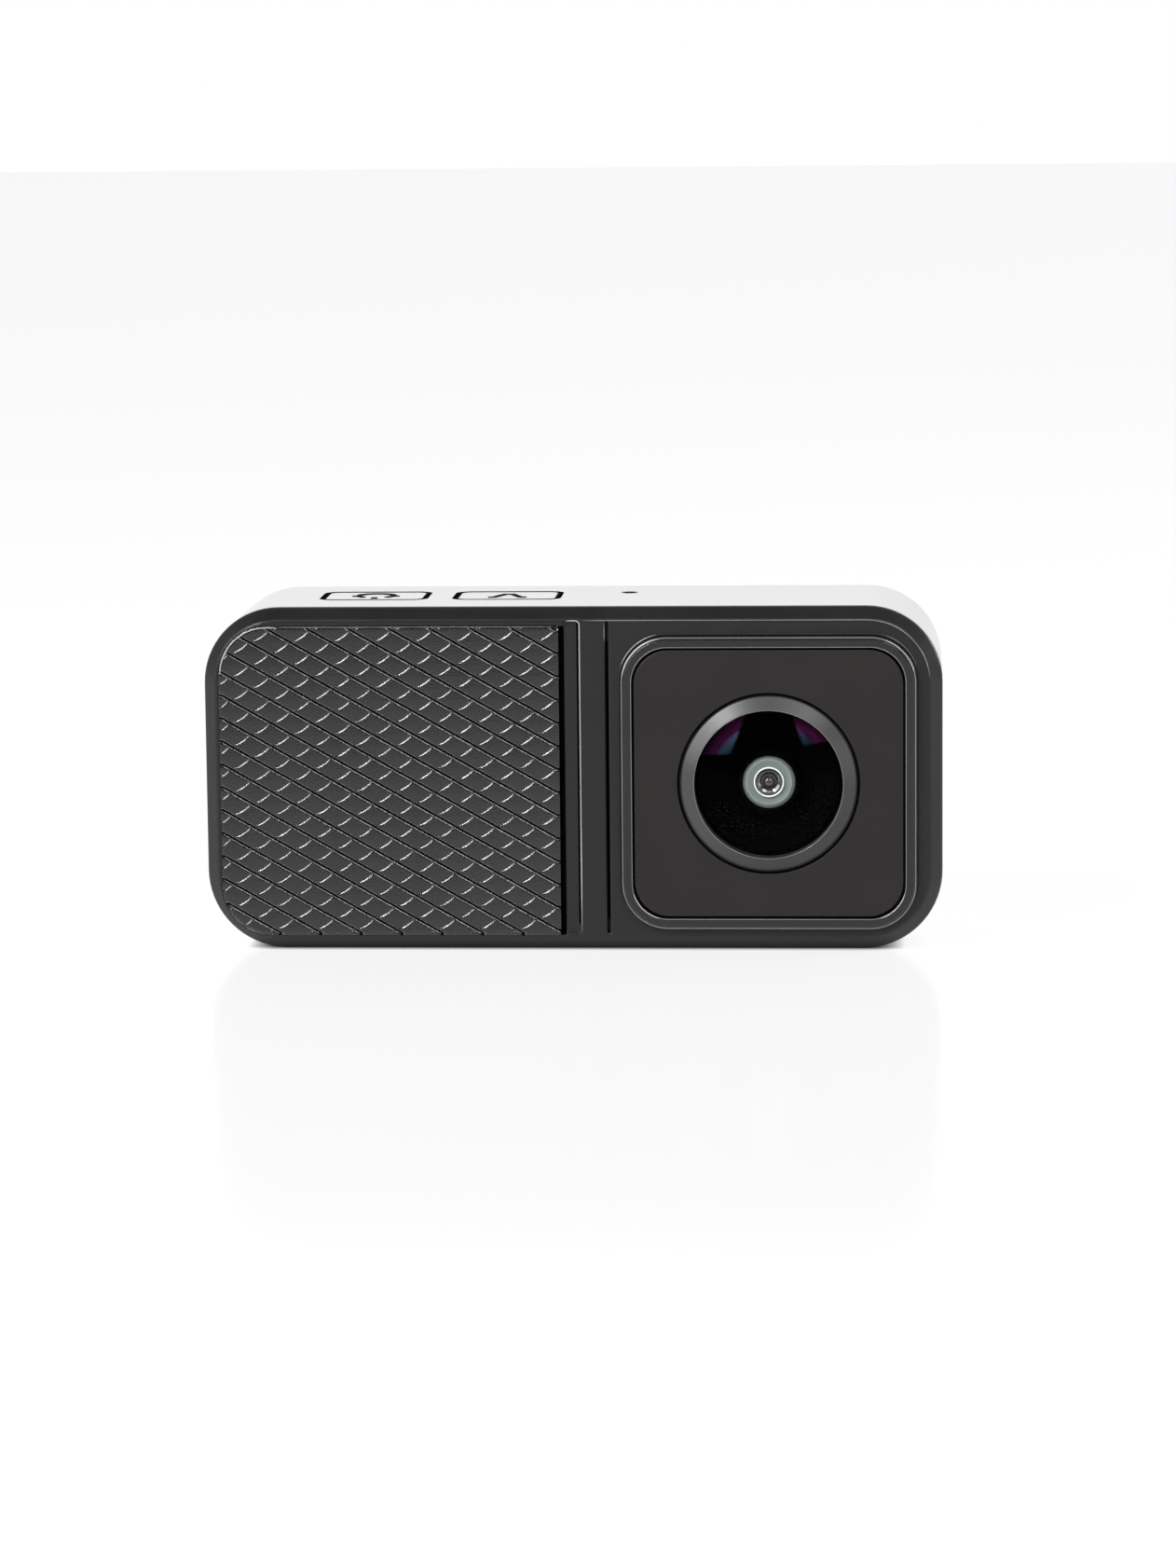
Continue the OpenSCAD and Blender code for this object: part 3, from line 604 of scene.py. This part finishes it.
def make_grip():
    """The grip pad: the pattern, trimmed inside the panel's outline and closed behind."""
    verts, faces, dark = grip_cells()
    work = bmesh.new()
    for v in verts:
        work.verts.new(v)
    work.verts.ensure_lookup_table()
    for f, lines_slit in zip(faces, dark):
        work.faces.new([work.verts[i] for i in f]).material_index = int(lines_slit)
    bmesh.ops.remove_doubles(work, verts=work.verts, dist=1e-6)
    outline = grip_outline(GRIP_EDGE)
    for k in range(len(outline)):
        p, q = Vector(outline[k]), Vector(outline[(k + 1) % len(outline)])
        run = q - p
        out = Vector((run.y, 0, -run.x)).normalized()
        geometry = work.verts[:] + work.edges[:] + work.faces[:]
        bmesh.ops.bisect_plane(work, geom=geometry, plane_co=(p.x * MM, 0, p.y * MM), plane_no=out,
                               clear_outer=True, dist=1e-8)
    # The trimmed edge turns out just past the panel's outline, then runs back into its recess
    lip_deep, lip_out = GRIP_LIP
    for depth, outset in ((GRIP_LOW.y + lip_deep * MM, GRIP_EDGE + lip_out), (GRIP_FLOOR, 0.0)):
        border = [e for e in work.edges if e.is_boundary]
        grown = bmesh.ops.extrude_edge_only(work, edges=border)["geom"]
        for v in (g for g in grown if isinstance(g, bmesh.types.BMVert)):
            away = outline_normal(v.co.x / MM, v.co.z / MM)
            v.co.x += away[0] * outset * MM
            v.co.z += away[1] * outset * MM
            v.co.y = depth
    bmesh.ops.contextual_create(work, geom=[e for e in work.edges if e.is_boundary])
    bmesh.ops.recalc_face_normals(work, faces=work.faces)
    mesh = bpy.data.meshes.new("grip_pad")
    work.to_mesh(mesh)
    work.free()
    look = moulded("grip_rubber_look", (0.0034, 0.0034, 0.0037), 0.15, 0.16, 0.03, 0.3,
                   gloss=0.75, edge=0.02)
    # Matt black without gloss on the faces lining the slits: painted shade in the slits.
    slit = moulded("grip_slit_painted_shade_look", (0.0028, 0.0028, 0.0028), 0.8, 0.2, 0.004, 0.2,
                   gloss=0.0, edge=0.02)
    finish_piece("grip_pad", mesh, [look, slit], "camera", 60, ["grip_panel"])


def outline_normal(x, z):
    """The way out of the grip's outline near a point, in X and Z."""
    left, right = GRIP_LOW.x / MM, GRIP_HIGH.x / MM
    low, high = GRIP_LOW.z / MM, GRIP_HIGH.z / MM
    r = GRIP_CORNER
    for corner_z, beyond in ((high - r, z > high - r), (low + r, z < low + r)):
        if x < left + r and beyond:
            away = Vector((x - left - r, z - corner_z))
            return away.normalized()
    near = 2.5 * GRIP_EDGE
    out_x = (x > right - near) - (x < left + near)
    out_z = (z > high - near) - (z < low + near)
    return out_x, out_z


# ---------- lens ----------

# Depths are in millimetres back from the front face, so what stands in front of it is negative
GLASS_EDGE = -1.15  # where the dome meets its rim
GLASS_WALL = 0.15  # between the rim and the hollow behind
BOWL_DEEP = 2.6
GLASS_SHINE = 0.03  # share of plain glass's reflection that is left by the coating
IRIS_PAINT = (1.7, 3.0)  # radii between which the iris plate's colours run
PUPIL_IN, PUPIL_OUT = 1.52, 1.68  # the white ring's radii
IRIS_R = 3.0
CORE_R = 0.62  # the small element's own radius


def make_lens():
    """The hollow front glass, with its coating on the inner face and the coating's reflection painted
    into two patches.
    """
    glass_low, glass_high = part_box("front_lens")
    apex, back = (glass_low.y - FACE_Y) / MM, (glass_high.y - FACE_Y) / MM
    rim = (glass_high.x - glass_low.x) / 2 / MM
    sag = GLASS_EDGE - apex
    dome = (rim * rim + sag * sag) / (2 * sag)
    bowl_rim = rim - GLASS_WALL
    bowl = (bowl_rim ** 2 + BOWL_DEEP ** 2) / (2 * BOWL_DEEP)
    top = math.degrees(math.asin(rim / dome))
    outer = arc(dome, (0, apex + dome), -90, -90 + top, 40)
    under = math.degrees(math.asin(bowl_rim / bowl))
    inner = arc(bowl, (0, back - BOWL_DEEP + bowl), -90 + under, -90, 40)
    profile = outer + [(rim, back)] + inner
    verts, faces = revolve([(max(0.0, r), d) for r, d in profile], 160)
    clear = clear_glass("front_glass_look", (1, 1, 1), GLASS_SHINE)
    painted_glint_coat = coating_with_painted_glints("coating_painted_glint_look")

    def inner_face(centre, normal):
        """1, the coating with its painted reflection, for faces behind the dome and inside the rim, and
        0 for the others.
        """
        radius = math.hypot(centre.x - LENS.x, centre.z - LENS.z) / MM
        depth = (centre.y - FACE_Y) / MM
        on_dome = apex + dome - math.sqrt(max(0.0, dome * dome - radius * radius))
        return 1 if radius < bowl_rim and depth > on_dome + 0.2 else 0

    piece("front_glass", verts, faces, [clear, painted_glint_coat], stands_for=["front_lens"],
          face_materials=inner_face)


def iris_paint(name):
    """Satin grey green, darker towards its rim, with a thin pale circle painted on its ridge as a
    highlight.
    """
    material, tree = start_material(name)
    cloud = noise(tree, place(tree), 0.5 * MM, 2.0)
    wobble = spread(tree, cloud, -0.04 * MM, 0.04 * MM)
    exact = lens_radius(tree)[0]
    radius = add(tree, "ShaderNodeMath", {0: exact, 1: wobble}, operation="ADD").outputs[0]
    across = spread(tree, radius, 0, 1, *(r * MM for r in IRIS_PAINT))
    # The pale stop at 0.62, about 2.5 mm from the axis, lies on the plate's ridge: a painted highlight.
    colours = [(0.0, (0.11, 0.145, 0.13)), (0.45, (0.125, 0.155, 0.137)), (0.56, (0.13, 0.165, 0.15)),
               (0.62, (0.22, 0.26, 0.24)), (0.7, (0.1, 0.118, 0.108)), (1.0, (0.06, 0.068, 0.065))]
    grain = noise(tree, place(tree), 0.3 * MM, 2.0)
    surface = {"Base Color": ramp(tree, across, colours), "Roughness": 0.35,
               "Normal": bump(tree, grain, 0.004 * MM)}
    finish_material(tree, principled(tree, surface))
    return material


def make_pupil():
    """The grey green plate, white ring and small dark element in the middle of the lens."""
    front = (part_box("lens_iris_plate")[0].y - FACE_Y) / MM
    plate = [
        (PUPIL_OUT, front + 0.1), (2.3, front + 0.02), (2.42, front - 0.06), (2.54, front - 0.06),
        (2.6, front + 0.02), (IRIS_R - 0.08, front + 0.12), (IRIS_R, front + 0.25),
        (IRIS_R, front + 1), (PUPIL_OUT, front + 1),
    ]
    verts, faces = revolve(plate)
    look = iris_paint("iris_plate_look")
    piece("iris_plate", verts, faces, look, stands_for=["lens_iris_plate"])
    ring = [
        (PUPIL_IN, front + 0.2), (1.54, front - 0.12), (1.57, front - 0.17), (1.63, front - 0.17),
        (1.66, front - 0.1), (PUPIL_OUT, front + 0.06), (PUPIL_OUT, front + 0.9),
        (PUPIL_IN, front + 0.9),
    ]
    verts, faces = revolve(ring)
    look = moulded("pupil_ring_look", (0.9, 0.92, 0.9), 0.25, 0.3, 0.002, 0.03)
    piece("pupil_edge", verts, faces, look, stands_for=["pupil_ring"])
    core = arc(CORE_R, (0, front + 0.5), -90, -22, 12)
    rims = [(0.66, front + 0.4), (0.72, front + 0.3), (0.84, front + 0.28), (0.9, front + 0.38),
            (0.98, front + 0.3), (1.2, front + 0.22), (1.34, front + 0.1), (1.51, front + 0.12)]
    inner = [(max(0.0, r), d) for r, d in core] + rims + [(1.51, front + 0.9), (0, front + 0.9)]
    verts, faces = revolve(inner, 64)
    material, tree = start_material("inner_lens_look")
    radius = lens_radius(tree)[0]
    across = spread(tree, radius, 0, 1, 0, PUPIL_IN * MM)
    colours = [(0.0, (0.012, 0.01, 0.014)), (0.45, (0.03, 0.026, 0.034)), (0.62, (0.008, 0.008, 0.01)),
               (0.85, (0.035, 0.035, 0.04)), (1.0, (0.01, 0.01, 0.012))]
    surface = {"Base Color": ramp(tree, across, colours), "Roughness": 0.1, "IOR": 1.7}
    finish_material(tree, principled(tree, surface))
    piece("inner_element", verts, faces, material, stands_for=["inner_lens"])


# ---------- painted highlight lines on the edges, and painted shade in the joints on the front ---

# In millimetres: X, Z, and depth back from the front face
FRAME_R = 5.2  # the lens frame's corner radius
FRAME_CORNERS = (FRAME_LOW.x / MM + FRAME_R, FRAME_HIGH.x / MM - FRAME_R,
                 FRAME_LOW.z / MM + FRAME_R, FRAME_HIGH.z / MM - FRAME_R)
BEVEL_INSET = 0.2  # from the frame's outer edge to the edge of its outer bevel
OPENING_INSET = 1.22  # and to the edge of its opening
OPENING_OUTSET = 0.22  # and out to the edge of the recess it stands in
RIB_X = 0.95
RIB_LOW, RIB_HIGH = 2.1, 36.3
RIB_TURN = 0.5  # radius of the bend at the rib's top
STRIP_TOP = 36.87
GROOVE_X = 3.7
RIM_CREASE = 1.42  # from the shell's top down to the crease along the rim
RIM_X = 32.6  # where the crease starts to turn down
RIM_TURN = 7.0


def bead(name, path, depth, radius, material, closed=False):
    """A thin rounded line along a path of X-Z points, in millimetres. An open one tapers off."""
    verts, faces, sides, count = [], [], 8, len(path)
    for i, (x, z) in enumerate(path):
        before = Vector(path[i - 1] if closed or i else path[0])
        after = Vector(path[(i + 1) % count] if closed or i < count - 1 else path[-1])
        run = (after - before).normalized()
        ends = 1.0 if closed else min(1.0, 0.15 + min(i, count - 1 - i) / 4)
        for k in range(sides):
            angle = 2 * math.pi * (k + 0.5) / sides
            out, y = radius * ends * math.cos(angle), radius * ends * math.sin(angle)
            verts.append(((x + run.y * out) * MM, FACE_Y + (depth + y) * MM, (z - run.x * out) * MM))
    for i in range(count if closed else count - 1):
        here, there = i * sides, (i + 1) % count * sides
        for k in range(sides):
            j = (k + 1) % sides
            faces.append([here + k, here + j, there + j, there + k])
    if not closed:
        faces.append(list(range(sides)))
        faces.append([(count - 1) * sides + k for k in range(sides)])
    piece(name, verts, faces, material, smooth_angle=80)


def frame_path(inset):
    """A loop round the lens frame, inset from its outer edge, in millimetres."""
    r = FRAME_R - inset
    left, right, low, high = FRAME_CORNERS
    loop = arc(r, (right, high), 0, 90, 16) + arc(r, (left, high), 90, 180, 16)
    return loop + arc(r, (left, low), 180, 270, 16) + arc(r, (right, low), 270, 360, 16)


def run_between(start, end, steps):
    """Evenly spaced points from start towards end, without end itself."""
    a, b = Vector(start), Vector(end)
    return [tuple(a + (b - a) * i / steps) for i in range(steps)]


def half_width(node):
    """Half a node's size along X, in millimetres."""
    low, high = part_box(node)
    return (high.x - low.x) / 2 / MM


def make_edge_lines():
    """Thin pale glossy beads along the edges, whose pale colour paints the highlight lines that the
    edges catch. The numbers after each path are the bead's depth and its radius."""
    # Pale base colours, far lighter than the black plastic round them: painted highlights.
    line = moulded("painted_highlight_line_look", (0.13, 0.13, 0.132), 0.2, 0.2, 0.002, 0.15,
                   gloss=0.9, edge=0.02)
    bright_highlight = moulded("bright_painted_highlight_look", (0.32, 0.32, 0.325), 0.16, 0.2, 0.002, 0.15,
                     gloss=1.0, edge=0.02)
    bead("frame_outer_line", frame_path(BEVEL_INSET), -0.76, 0.075, line, closed=True)
    bead("frame_inner_line", frame_path(OPENING_INSET), -0.94, 0.06, line, closed=True)
    lip = arc(half_width("front_lens") + 0.17, (LENS.x / MM, LENS.z / MM), 0, 360, 96)[:-1]
    bead("ring_inner_line", lip, -1.66, 0.045, line, closed=True)
    left, right, low, high = FRAME_CORNERS
    outer, inner = FRAME_R - BEVEL_INSET, FRAME_R - OPENING_INSET
    recess = FRAME_R + OPENING_OUTSET
    bead("frame_corner_line_left", arc(outer, (left, high), 96, 176, 20), -0.8, 0.1, bright_highlight)
    bead("frame_corner_line_right", arc(outer, (right, high), 8, 78, 20), -0.79, 0.07, bright_highlight)
    bead("plate_corner_line_left", arc(inner, (left, low), 190, 262, 20), -0.96, 0.065, bright_highlight)
    bead("plate_corner_line_right", arc(inner, (right, low), 280, 350, 20), -0.96, 0.065, bright_highlight)
    bead("opening_line_left", arc(recess, (left, high), 98, 166, 14), 0.01, 0.055, bright_highlight)
    bead("opening_line_right", arc(recess, (right, high), 12, 80, 14), 0.01, 0.05, line)
    rib = run_between((RIB_X, RIB_LOW), (RIB_X, RIB_HIGH), 24)
    rib += arc(RIB_TURN, (RIB_X - RIB_TURN, STRIP_TOP - RIB_TURN), 0, 90, 8)
    rib += run_between((0.3, STRIP_TOP), (-0.75, STRIP_TOP), 6)
    bead("rib_line", rib, 0.0, 0.068, bright_highlight)
    top = SHELL_TOP / MM - RIM_CREASE
    crease = run_between((1.1, top), (RIM_X, top), 72)
    crease += arc(RIM_TURN, (RIM_X, top - RIM_TURN), 90, 4, 24)
    bead("rim_line", crease, 0.02, 0.06, line)
    bead("groove_line", run_between((GROOVE_X, 36.85), (GROOVE_X, 34.2), 12), 0.02, 0.05, line)
    x, z = GRIP_LOW.x / MM + GRIP_CORNER, GRIP_HIGH.z / MM - GRIP_CORNER
    corner = [(x - GRIP_CORNER + 0.12, z - 0.8)] + arc(GRIP_CORNER - 0.12, (x, z), 180, 90, 24)
    corner += run_between((x + 0.2, z + GRIP_CORNER - 0.12), (x + 1.4, z + GRIP_CORNER - 0.11), 6)
    bead("grip_corner_line", corner, 0.0, 0.09, bright_highlight)
    grip_top = GRIP_HIGH.z / MM - 0.1
    along = run_between((x + 0.6, grip_top), (GRIP_HIGH.x / MM - 0.1, grip_top), 96)
    bead("grip_top_line", along, 0.0, 0.06, line)


STRIP_ROUND = 0.1  # how far a joint strip's front is domed


def joint_strip(name, across, up, deep, material):
    """A matt black strip with a rounded front, filling a joint to paint the shade in it. Its ranges in
    X,
    Z and depth are in millimetres."""
    (x0, x1), (front, back) = across, deep
    half, middle_x, side = (x1 - x0) / 2, (x0 + x1) / 2, front + STRIP_ROUND
    section = [(x0, back), (x0, side)]
    for angle in (150, 120, 90, 60, 30):
        turn = math.radians(angle)
        section.append((middle_x + half * math.cos(turn), side - STRIP_ROUND * math.sin(turn)))
    section += [(x1, side), (x1, back)]
    verts = [(x * MM, FACE_Y + y * MM, z * MM) for z in up for x, y in section]
    count = len(section)
    faces = [[k, (k + 1) % count, count + (k + 1) % count, count + k] for k in range(count)]
    faces += [list(range(count)), [count + k for k in range(count)]]
    piece(name, verts, faces, material)


def make_joints():
    """Matt black fillings that paint the shade in the joints beside the grip and ribs and in the gaps
    round the plate and ring, and a soft filling round the frame.
    """
    # Matt black without gloss: painted shade in the joints and gaps.
    dark = moulded("joint_painted_shade_look", (0.0012, 0.0012, 0.0013), 0.8, 0.2, 0.004, 0.2,
                   gloss=0.0, edge=0.02)
    grip_side = (GRIP_HIGH.x / MM + 0.07, -0.81)
    grip_up = (GRIP_LOW.z / MM + 0.02, GRIP_HIGH.z / MM - 0.02)
    joint_strip("grip_joint", grip_side, grip_up, (0.4, 0.99), dark)
    joint_strip("rib_joint", (0.6, 0.74), (2.9, 36.8), (0.22, 0.34), dark)
    joint_strip("groove_joint", (3.81, 4.14), (3.5, 34.4), (0.3, 0.79), dark)
    filler = moulded("frame_seal_look", (0.009, 0.009, 0.0096), 0.5, 0.2, 0.004, 0.15, gloss=0.38)
    bead("frame_seal", frame_path(-0.13), 0.03, 0.11, filler, closed=True)
    bead("plate_gap_shade", frame_path(1.42), -0.86, 0.06, dark, closed=True)
    outside = arc(half_width("lens_ring") + 0.06, (LENS.x / MM, LENS.z / MM), 0, 360, 128)[:-1]
    bead("ring_gap_shade", outside, -0.86, 0.075, dark, closed=True)


# ---------- button icons, and painted shade round the buttons ---

ICON_SUNK, ICON_PROUD = 0.1, 0.09  # an icon's depth below and height above the cap, in millimetres


def ribbon(points, width, base, top):
    """A flat strip of constant width along X-Y points, as points and faces. The points and the
    width are in millimetres, and base and top are heights in metres."""
    verts, faces = [], []
    count = len(points)
    for i, point in enumerate(points):
        before = Vector(points[max(0, i - 1)])
        after = Vector(points[min(count - 1, i + 1)])
        run = (after - before).normalized()
        side = Vector((-run.y, run.x)) * width / 2
        for across in (side, -side):
            for z in (base, top):
                verts.append(((point[0] + across.x) * MM, (point[1] + across.y) * MM, z))
    for i in range(count - 1):
        p, q = 4 * i, 4 * i + 4
        for a, b in ((0, 1), (1, 3), (3, 2), (2, 0)):
            faces.append([p + a, p + b, q + b, q + a])
    faces.append([0, 1, 3, 2])
    faces.append([4 * count - 4, 4 * count - 3, 4 * count - 1, 4 * count - 2])
    return verts, faces


def icon(name, node, strips, material):
    """Raised strips on top of a button, from (points, width) pairs round the button's middle."""
    centre = middle(node) / MM
    verts, faces = [], []
    base, top = CAP_TOP - ICON_SUNK * MM, CAP_TOP + ICON_PROUD * MM
    for points, width in strips:
        moved = [(centre.x + x, centre.y + y) for x, y in points]
        new_verts, new_faces = ribbon(moved, width, base, top)
        faces += [[len(verts) + i for i in f] for f in new_faces]
        verts += new_verts
    piece(name, verts, faces, material, body=node)


def button_outline(outset):
    """Points round a button cap grown by outset, from the cap's middle, in millimetres."""
    half_x, half_y, r = CAP_W / 2 + outset, CAP_L / 2 + outset, CAP_R + outset
    points = []
    for turn, (sx, sy) in enumerate(((1, 1), (-1, 1), (-1, -1), (1, -1))):
        points += arc(r, (sx * (half_x - r), sy * (half_y - r)), 90 * turn, 90 * turn + 90, 8)
    return points


def collar(name, centre, section, material, body):
    """A ring round a button. The section is a closed run of (outset, height) in millimetres."""
    rings = [button_outline(outset) for outset, height in section]
    count, verts, faces = len(rings[0]), [], []
    for ring, (outset, height) in zip(rings, section):
        verts += [((centre.x + x) * MM, (centre.y + y) * MM, height * MM) for x, y in ring]
    for k in range(len(section)):
        here, there = k * count, (k + 1) % len(section) * count
        for i in range(count):
            j = (i + 1) % count
            faces.append([here + i, here + j, there + j, there + i])
    piece(name, verts, faces, material, body=body)


def make_hole_tube(material):
    """A matt black tube in the microphone hole, which paints the shade inside it."""
    low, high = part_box("microphone_mesh")
    centre = (low + high) / 2
    top = SHELL_TOP / MM
    wall = [(0.8, top - 0.1), (0.96, top - 0.02), (0.94, top + 0.02), (0.74, top - 0.02),
            (0.66, high.z / MM + 0.1), (0.8, high.z / MM + 0.1)]
    verts, faces, steps = [], [], 40
    for step in range(steps):
        angle = 2 * math.pi * step / steps
        for r, z in wall:
            aside, back = r * MM * math.cos(angle), r * MM * math.sin(angle)
            verts.append((centre.x + aside, centre.y + back, z * MM))
    for step in range(steps):
        here, there = len(wall) * step, len(wall) * ((step + 1) % steps)
        for k in range(len(wall)):
            j = (k + 1) % len(wall)
            faces.append([here + k, here + j, there + j, there + k])
    piece("microphone_tube", verts, faces, material)


def make_button_edges():
    """A matt black edge round each cap, a matt black lining in each opening and a tube in the
    microphone hole, which paint the shade in the gaps and the hole.
    """
    top = CAP_TOP / MM
    shell_top = SHELL_TOP / MM
    # Matt black without gloss: painted shade on the caps' edges, in the openings and in the microphone
    # hole.
    rubber = moulded("button_gap_painted_shade_look", (0.006, 0.006, 0.006), 0.7, 0.15, 0.003, 0.15,
                     gloss=0.0, edge=0.03)
    for name, node in (("record", "record_button"), ("mode", "mode_button")):
        centre = middle(node) / MM
        edge = [(0.04, top - 1.5), (0.04, top), (-0.05, top + 0.07), (-0.2, top + 0.08),
                (-0.3, top + 0.03), (-0.3, top - 0.1), (-0.02, top - 0.4), (-0.02, top - 1.5)]
        collar(name + "_edge", centre, edge, rubber, node)
        opening_shade = [(0.4, shell_top - 0.02), (0.33, shell_top - 0.02), (0.31, shell_top - 1.4),
                 (0.4, shell_top - 1.4)]
        collar(name + "_gap_shade", centre, opening_shade, rubber, "camera")
    make_hole_tube(rubber)


def make_icons():
    """Generic symbols: an arc with two strokes and a dot, and a chevron with short feet."""
    ink = moulded("icon_ink", (0.012, 0.012, 0.013), 0.7, 0.15, 0.002, 0.1, gloss=0.0)
    dome = arc(2.0, (0, 0.1), 15, 165, 20)
    left = [(-2.6, -0.2), (-1.9, -0.5), (-1.3, -1.5)]
    right = [(2.6, -0.2), (1.9, -0.5), (1.3, -1.5)]
    dot = [(-0.35, -2.3), (0.35, -2.3)]
    icon("record_icon", "record_button", [(dome, 0.7), (left, 0.6), (right, 0.6), (dot, 0.9)], ink)
    arrow = [(-2.1, -1.9), (-1.5, -1.7), (-0.4, 1.3), (0.4, 1.3), (1.5, -1.7), (2.1, -1.9)]
    icon("mode_icon", "mode_button", [(arrow, 0.6)], ink)


# ---------- tripod bush ----------

# In millimetres
THREAD_PITCH = 1.27
THREAD_R = 2.55  # at the thread's crests
THREAD_CUT = 0.6
BUSH_STEP = (0.4, 0.6)  # width and height of the shoulder at the top
BUSH_FLOOR = 0.9  # from the top down to the end of the bore
LEAD_IN = 1.4  # how steeply the mouth opens out


def thread_depth(turn):
    """How far the thread is cut back at a point, by turns along it, in millimetres."""
    part = abs(turn % 1 - 0.5) * 2
    return THREAD_CUT * min(1.0, max(0.0, (part - 0.12) / 0.74))


def make_bush():
    """The brass tripod bush, with a 20-per-inch thread cut up inside its blind bore."""
    low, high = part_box("tripod_insert")
    centre = (low + high) / 2
    outer = (high.x - low.x) / 2 / MM
    base, top = low.z / MM, high.z / MM
    neck, shoulder, floor = outer - BUSH_STEP[0], top - BUSH_STEP[1], top - BUSH_FLOOR
    steps, rows = 56, 74
    verts, faces = [], []
    for step in range(steps):
        angle = 2 * math.pi * step / steps
        profile = [(neck, top), (neck, shoulder), (outer, shoulder), (outer, base)]
        for row in range(rows + 1):
            z = base + (floor - base) * row / rows
            cut = thread_depth((z - base) / THREAD_PITCH - step / steps)
            lead_in = max(0.0, THREAD_CUT - (z - base) * LEAD_IN)
            profile.append((THREAD_R + max(cut, lead_in), z))
        for r, z in profile:
            at = (centre.x + r * MM * math.cos(angle), centre.y + r * MM * math.sin(angle))
            verts.append((*at, z * MM))
    count = len(profile)
    for step in range(steps):
        here, there = count * step, count * ((step + 1) % steps)
        for k in range(count - 1):
            faces.append([here + k, here + k + 1, there + k + 1, there + k])
    faces.append([count * step for step in range(steps)])
    faces.append([count * step + count - 1 for step in range(steps)])
    brass = metal("brass_look", (0.72, 0.52, 0.24), 0.3, (1, 1, 8))
    piece("tripod_bush", verts, faces, brass, stands_for=["tripod_insert"])


# ---------- looks of the carried-over parts ----------

FRONT_BLACK = (0.008, 0.008, 0.0086)
TRIM_BLACK = (0.0095, 0.0095, 0.0098)
PLATE_BLACK = (0.0068, 0.0047, 0.0046)
BARREL_BLACK = (0.0008, 0.0008, 0.0009)
SHELL_WHITE = (0.535, 0.535, 0.532)
CAP_WHITE = (0.54, 0.54, 0.55)


def paint_outside():
    """The case, lens trim, buttons and everything else that shows."""
    paint(["front_fascia"], moulded("front_plastic_look", FRONT_BLACK, 0.3, gloss=0.38, edge=0.45))
    paint(["lens_surround"], moulded("lens_trim_look", TRIM_BLACK, 0.22, gloss=0.45, edge=0.12))
    paint(["lens_faceplate"], moulded("plate_look", PLATE_BLACK, 0.5, gloss=0.36, edge=0.2))
    paint(["lens_ring"], moulded("ring_look", (0.03, 0.03, 0.031), 0.38, 0.12, 0.006, 0.12))
    paint(["rear_housing"], moulded("shell_look", SHELL_WHITE, 0.38, 0.12, 0.004, 0.02))
    paint(["port_door"], moulded("door_look", SHELL_WHITE, 0.38, 0.12, 0.004, 0.02))
    paint(["record_button", "mode_button"],
          moulded("cap_look", CAP_WHITE, 0.35, 0.12, 0.004, 0.02))
    paint(["display_glass"], dark_screen("screen_look"))
    paint(["housing_screws"], metal("screw_look", (0.5, 0.5, 0.51), 0.3, (1, 8, 1)))
    paint(["status_light"], moulded("light_pipe_look", (0.6, 0.72, 0.64), 0.25, 0.3, 0.004, 0.05))
    paint(["speaker_mesh", "microphone_mesh"], woven("mesh_look", (0.06, 0.06, 0.06)))
    paint(["lens_barrel", "lens_holder"], moulded("barrel_look", BARREL_BLACK, 0.6, gloss=0.0))


def paint_inside():
    """What shows only through the lens, through the open port door, or not at all."""
    paint(["lens_seal", "housing_gasket", "microphone_boot", "door_seal"],
          moulded("seal_look", (0.02, 0.02, 0.02), 0.6, 0.2, 0.01, 0.15))
    paint(["rear_lens_group"], clear_glass("rear_glass_look", (0.8, 0.88, 0.92), 1.0))
    paint(["ir_filter"], clear_glass("filter_look", (0.55, 0.85, 0.82), 1.0))
    paint(["image_sensor"], moulded("sensor_look", (0.04, 0.06, 0.06), 0.2, 0.5, 0.004, 0.2))
    paint(["sensor_board", "button_board", "main_board"], circuit_board("board_look"))
    paint(["sensor_flex", "antenna"], moulded("flex_look", (0.5, 0.24, 0.05), 0.3, 0.4, 0.006, 0.12))
    steel = metal("steel_look", (0.6, 0.61, 0.62), 0.32, (1, 6, 1))
    paint(["lens_screws", "button_board_screws", "main_board_screws", "hinge_pin", "tact_switches",
           "microphone", "shield_can", "usb_socket", "card_socket"], steel)
    paint(["speaker", "processor"], moulded("chip_look", (0.015, 0.015, 0.017), 0.5, 0.15, 0.01, 0.2))
    paint(["thermal_pad"], moulded("thermal_look", (0.3, 0.4, 0.48), 0.65, 0.3, 0.02, 0.12))
    paint(["heat_plate"], metal("plate_metal_look", (0.78, 0.79, 0.8), 0.35, (0.2, 1, 1)))
    paint(["battery"], metal("cell_look", (0.6, 0.62, 0.65), 0.42, (1, 1, 1), 0.6, 0.03))
    paint(["battery_foam"], moulded("foam_look", (0.03, 0.03, 0.03), 0.85, 0.3, 0.08, 0.4))
    paint(["display_panel"], moulded("panel_look", (0.05, 0.06, 0.07), 0.25, 0.4, 0.004, 0.15))
    paint(["memory_card"], moulded("card_look", (0.02, 0.02, 0.023), 0.35, 0.2, 0.006, 0.15))


make_stage()
paint_outside()
paint_inside()
make_grip()
make_lens()
make_pupil()
make_edge_lines()
make_joints()
make_icons()
make_button_edges()
make_bush()
